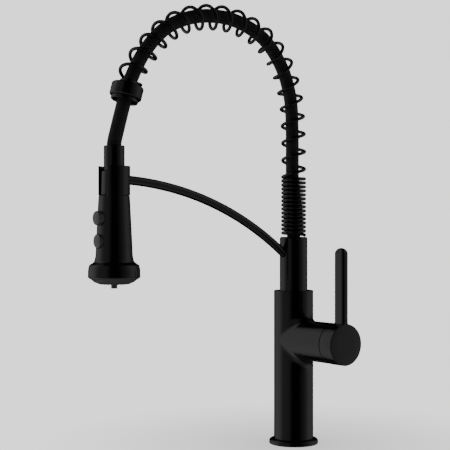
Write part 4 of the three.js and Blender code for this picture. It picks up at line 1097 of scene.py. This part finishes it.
def dress_frame_nodes():
    """Gives every CAD node the material of its slot and smooth shading over its facets."""
    slots = {part["node"]: part["material_slot"] for part in record["subparts"]}
    for name, node in frame["nodes"].items():
        node.data.materials.clear()
        node.data.materials.append(MATERIALS[slots[name]])
        node.data.shade_smooth()
        node.data.set_sharp_from_angle(angle=math.radians(35))


# ---------------------------------------------------------------- studio

BACKDROP = 1.6  # brightness of the pale backdrop and floor, as the camera sees them
FLOOR_RADIUS = 14


def floor():
    """Pale floor, shaded softly near the faucet; only the camera sees it."""
    mesh = bmesh.new()
    bmesh.ops.create_circle(mesh, cap_ends=True, segments=96, radius=FLOOR_RADIUS)
    data = bpy.data.meshes.new("floor")
    mesh.to_mesh(data)
    mesh.free()
    obj = bpy.data.objects.new("floor", data)
    bpy.context.scene.collection.objects.link(obj)
    material, tree, shader = new_material("floor", (0.9, 0.9, 0.9), 0.9, specular=0.0)
    glow = tree.nodes.new("ShaderNodeEmission")
    glow.inputs["Strength"].default_value = BACKDROP
    clear = tree.nodes.new("ShaderNodeBsdfTransparent")
    place = tree.nodes.new("ShaderNodeTexCoord")
    length = tree.nodes.new("ShaderNodeVectorMath")
    length.operation = "LENGTH"
    tree.links.new(place.outputs["Object"], length.inputs[0])
    fade = spread(tree, length.outputs["Value"], 0.55, 1.0, 0.03, 0.3)
    near = tree.nodes.new("ShaderNodeMixShader")
    tree.links.new(fade, near.inputs[0])
    tree.links.new(shader.outputs[0], near.inputs[1])
    tree.links.new(glow.outputs[0], near.inputs[2])
    rays = tree.nodes.new("ShaderNodeLightPath")
    seen = tree.nodes.new("ShaderNodeMixShader")
    tree.links.new(rays.outputs["Is Camera Ray"], seen.inputs[0])
    tree.links.new(clear.outputs[0], seen.inputs[1])
    tree.links.new(near.outputs[0], seen.inputs[2])
    tree.links.new(seen.outputs[0], tree.nodes["Material Output"].inputs["Surface"])
    data.materials.append(material)


# brightness of the studio round the faucet, by the angle to the right of the camera's side, degrees
STUDIO = [
    (-180, 0.0), (-150, 0.03), (-141, 0.26), (-120, 0.66), (-107, 0.8), (-90, 0.86), (-76, 0.5), (-64, 0.36),
    (-36, 0.32), (-24, 0.22), (-11, 0.0), (26, 0.0), (36, 0.09), (48, 0.17), (62, 0.27), (76, 0.42),
    (92, 0.66), (120, 0.4), (140, 0.2), (150, 0.03), (180, 0.0),
]
TABLE_LIGHT = 0.35  # brightness from below, on the camera's side


def world():
    """Soft studio: bright walls to both sides, dark in front, behind and above, faint light from below."""
    studio = bpy.data.worlds.new("studio")
    bpy.context.scene.world = studio
    studio.use_nodes = True
    tree = studio.node_tree
    tree.nodes.clear()
    place = tree.nodes.new("ShaderNodeTexCoord")
    turn = tree.nodes.new("ShaderNodeVectorRotate")
    turn.rotation_type = "Z_AXIS"
    turn.inputs["Angle"].default_value = -VIEW_TURN + math.pi / 2
    tree.links.new(place.outputs["Generated"], turn.inputs["Vector"])
    parts = tree.nodes.new("ShaderNodeSeparateXYZ")
    tree.links.new(turn.outputs["Vector"], parts.inputs[0])
    angle = maths(tree, "ARCTAN2", parts.outputs["Y"], parts.outputs["X"])
    share = spread(tree, angle, 0, 1, -math.pi, math.pi)
    ramp = tree.nodes.new("ShaderNodeValToRGB")
    stops = ramp.color_ramp.elements
    while len(stops) > 1:
        stops.remove(stops[0])
    for k, (degrees, level) in enumerate(STUDIO):
        stop = stops[0] if k == 0 else stops.new((degrees + 180) / 360)
        stop.position = (degrees + 180) / 360
        stop.color = (level, level, level, 1)
    tree.links.new(share, ramp.inputs[0])
    height = maths(tree, "ABSOLUTE", parts.outputs["Z"])
    walls = maths(tree, "MULTIPLY", ramp.outputs[0], spread(tree, height, 1, 0, 0.7, 0.95))
    below = spread(tree, parts.outputs["Z"], TABLE_LIGHT, 0, -0.8, -0.55)
    table = maths(tree, "MULTIPLY", below, spread(tree, parts.outputs["X"], 0, 1, -0.3, 0.1))
    around = tree.nodes.new("ShaderNodeBackground")
    tree.links.new(maths(tree, "ADD", walls, table), around.inputs["Strength"])
    backdrop = tree.nodes.new("ShaderNodeBackground")
    backdrop.inputs["Color"].default_value = (1, 1, 1, 1)
    backdrop.inputs["Strength"].default_value = BACKDROP
    rays = tree.nodes.new("ShaderNodeLightPath")
    mix = tree.nodes.new("ShaderNodeMixShader")
    tree.links.new(rays.outputs["Is Camera Ray"], mix.inputs[0])
    tree.links.new(around.outputs[0], mix.inputs[1])
    tree.links.new(backdrop.outputs[0], mix.inputs[2])
    output = tree.nodes.new("ShaderNodeOutputWorld")
    tree.links.new(mix.outputs[0], output.inputs["Surface"])


# ---------------------------------------------------------------- build

dress_frame_nodes()
base_flange()
body_shell()
lever_handle()
bonnet_dome()
riser_tube()
spring()
hose()
spring_end()
dock_arm()
dock_ring()
hose_swivel_nut()
docking_collar()
spray_body()
button("upper_button", "button_up")
button("lower_button", "button_down")
spray_face()
centre_nozzle()
floor()
world()

bpy.context.view_layer.update()
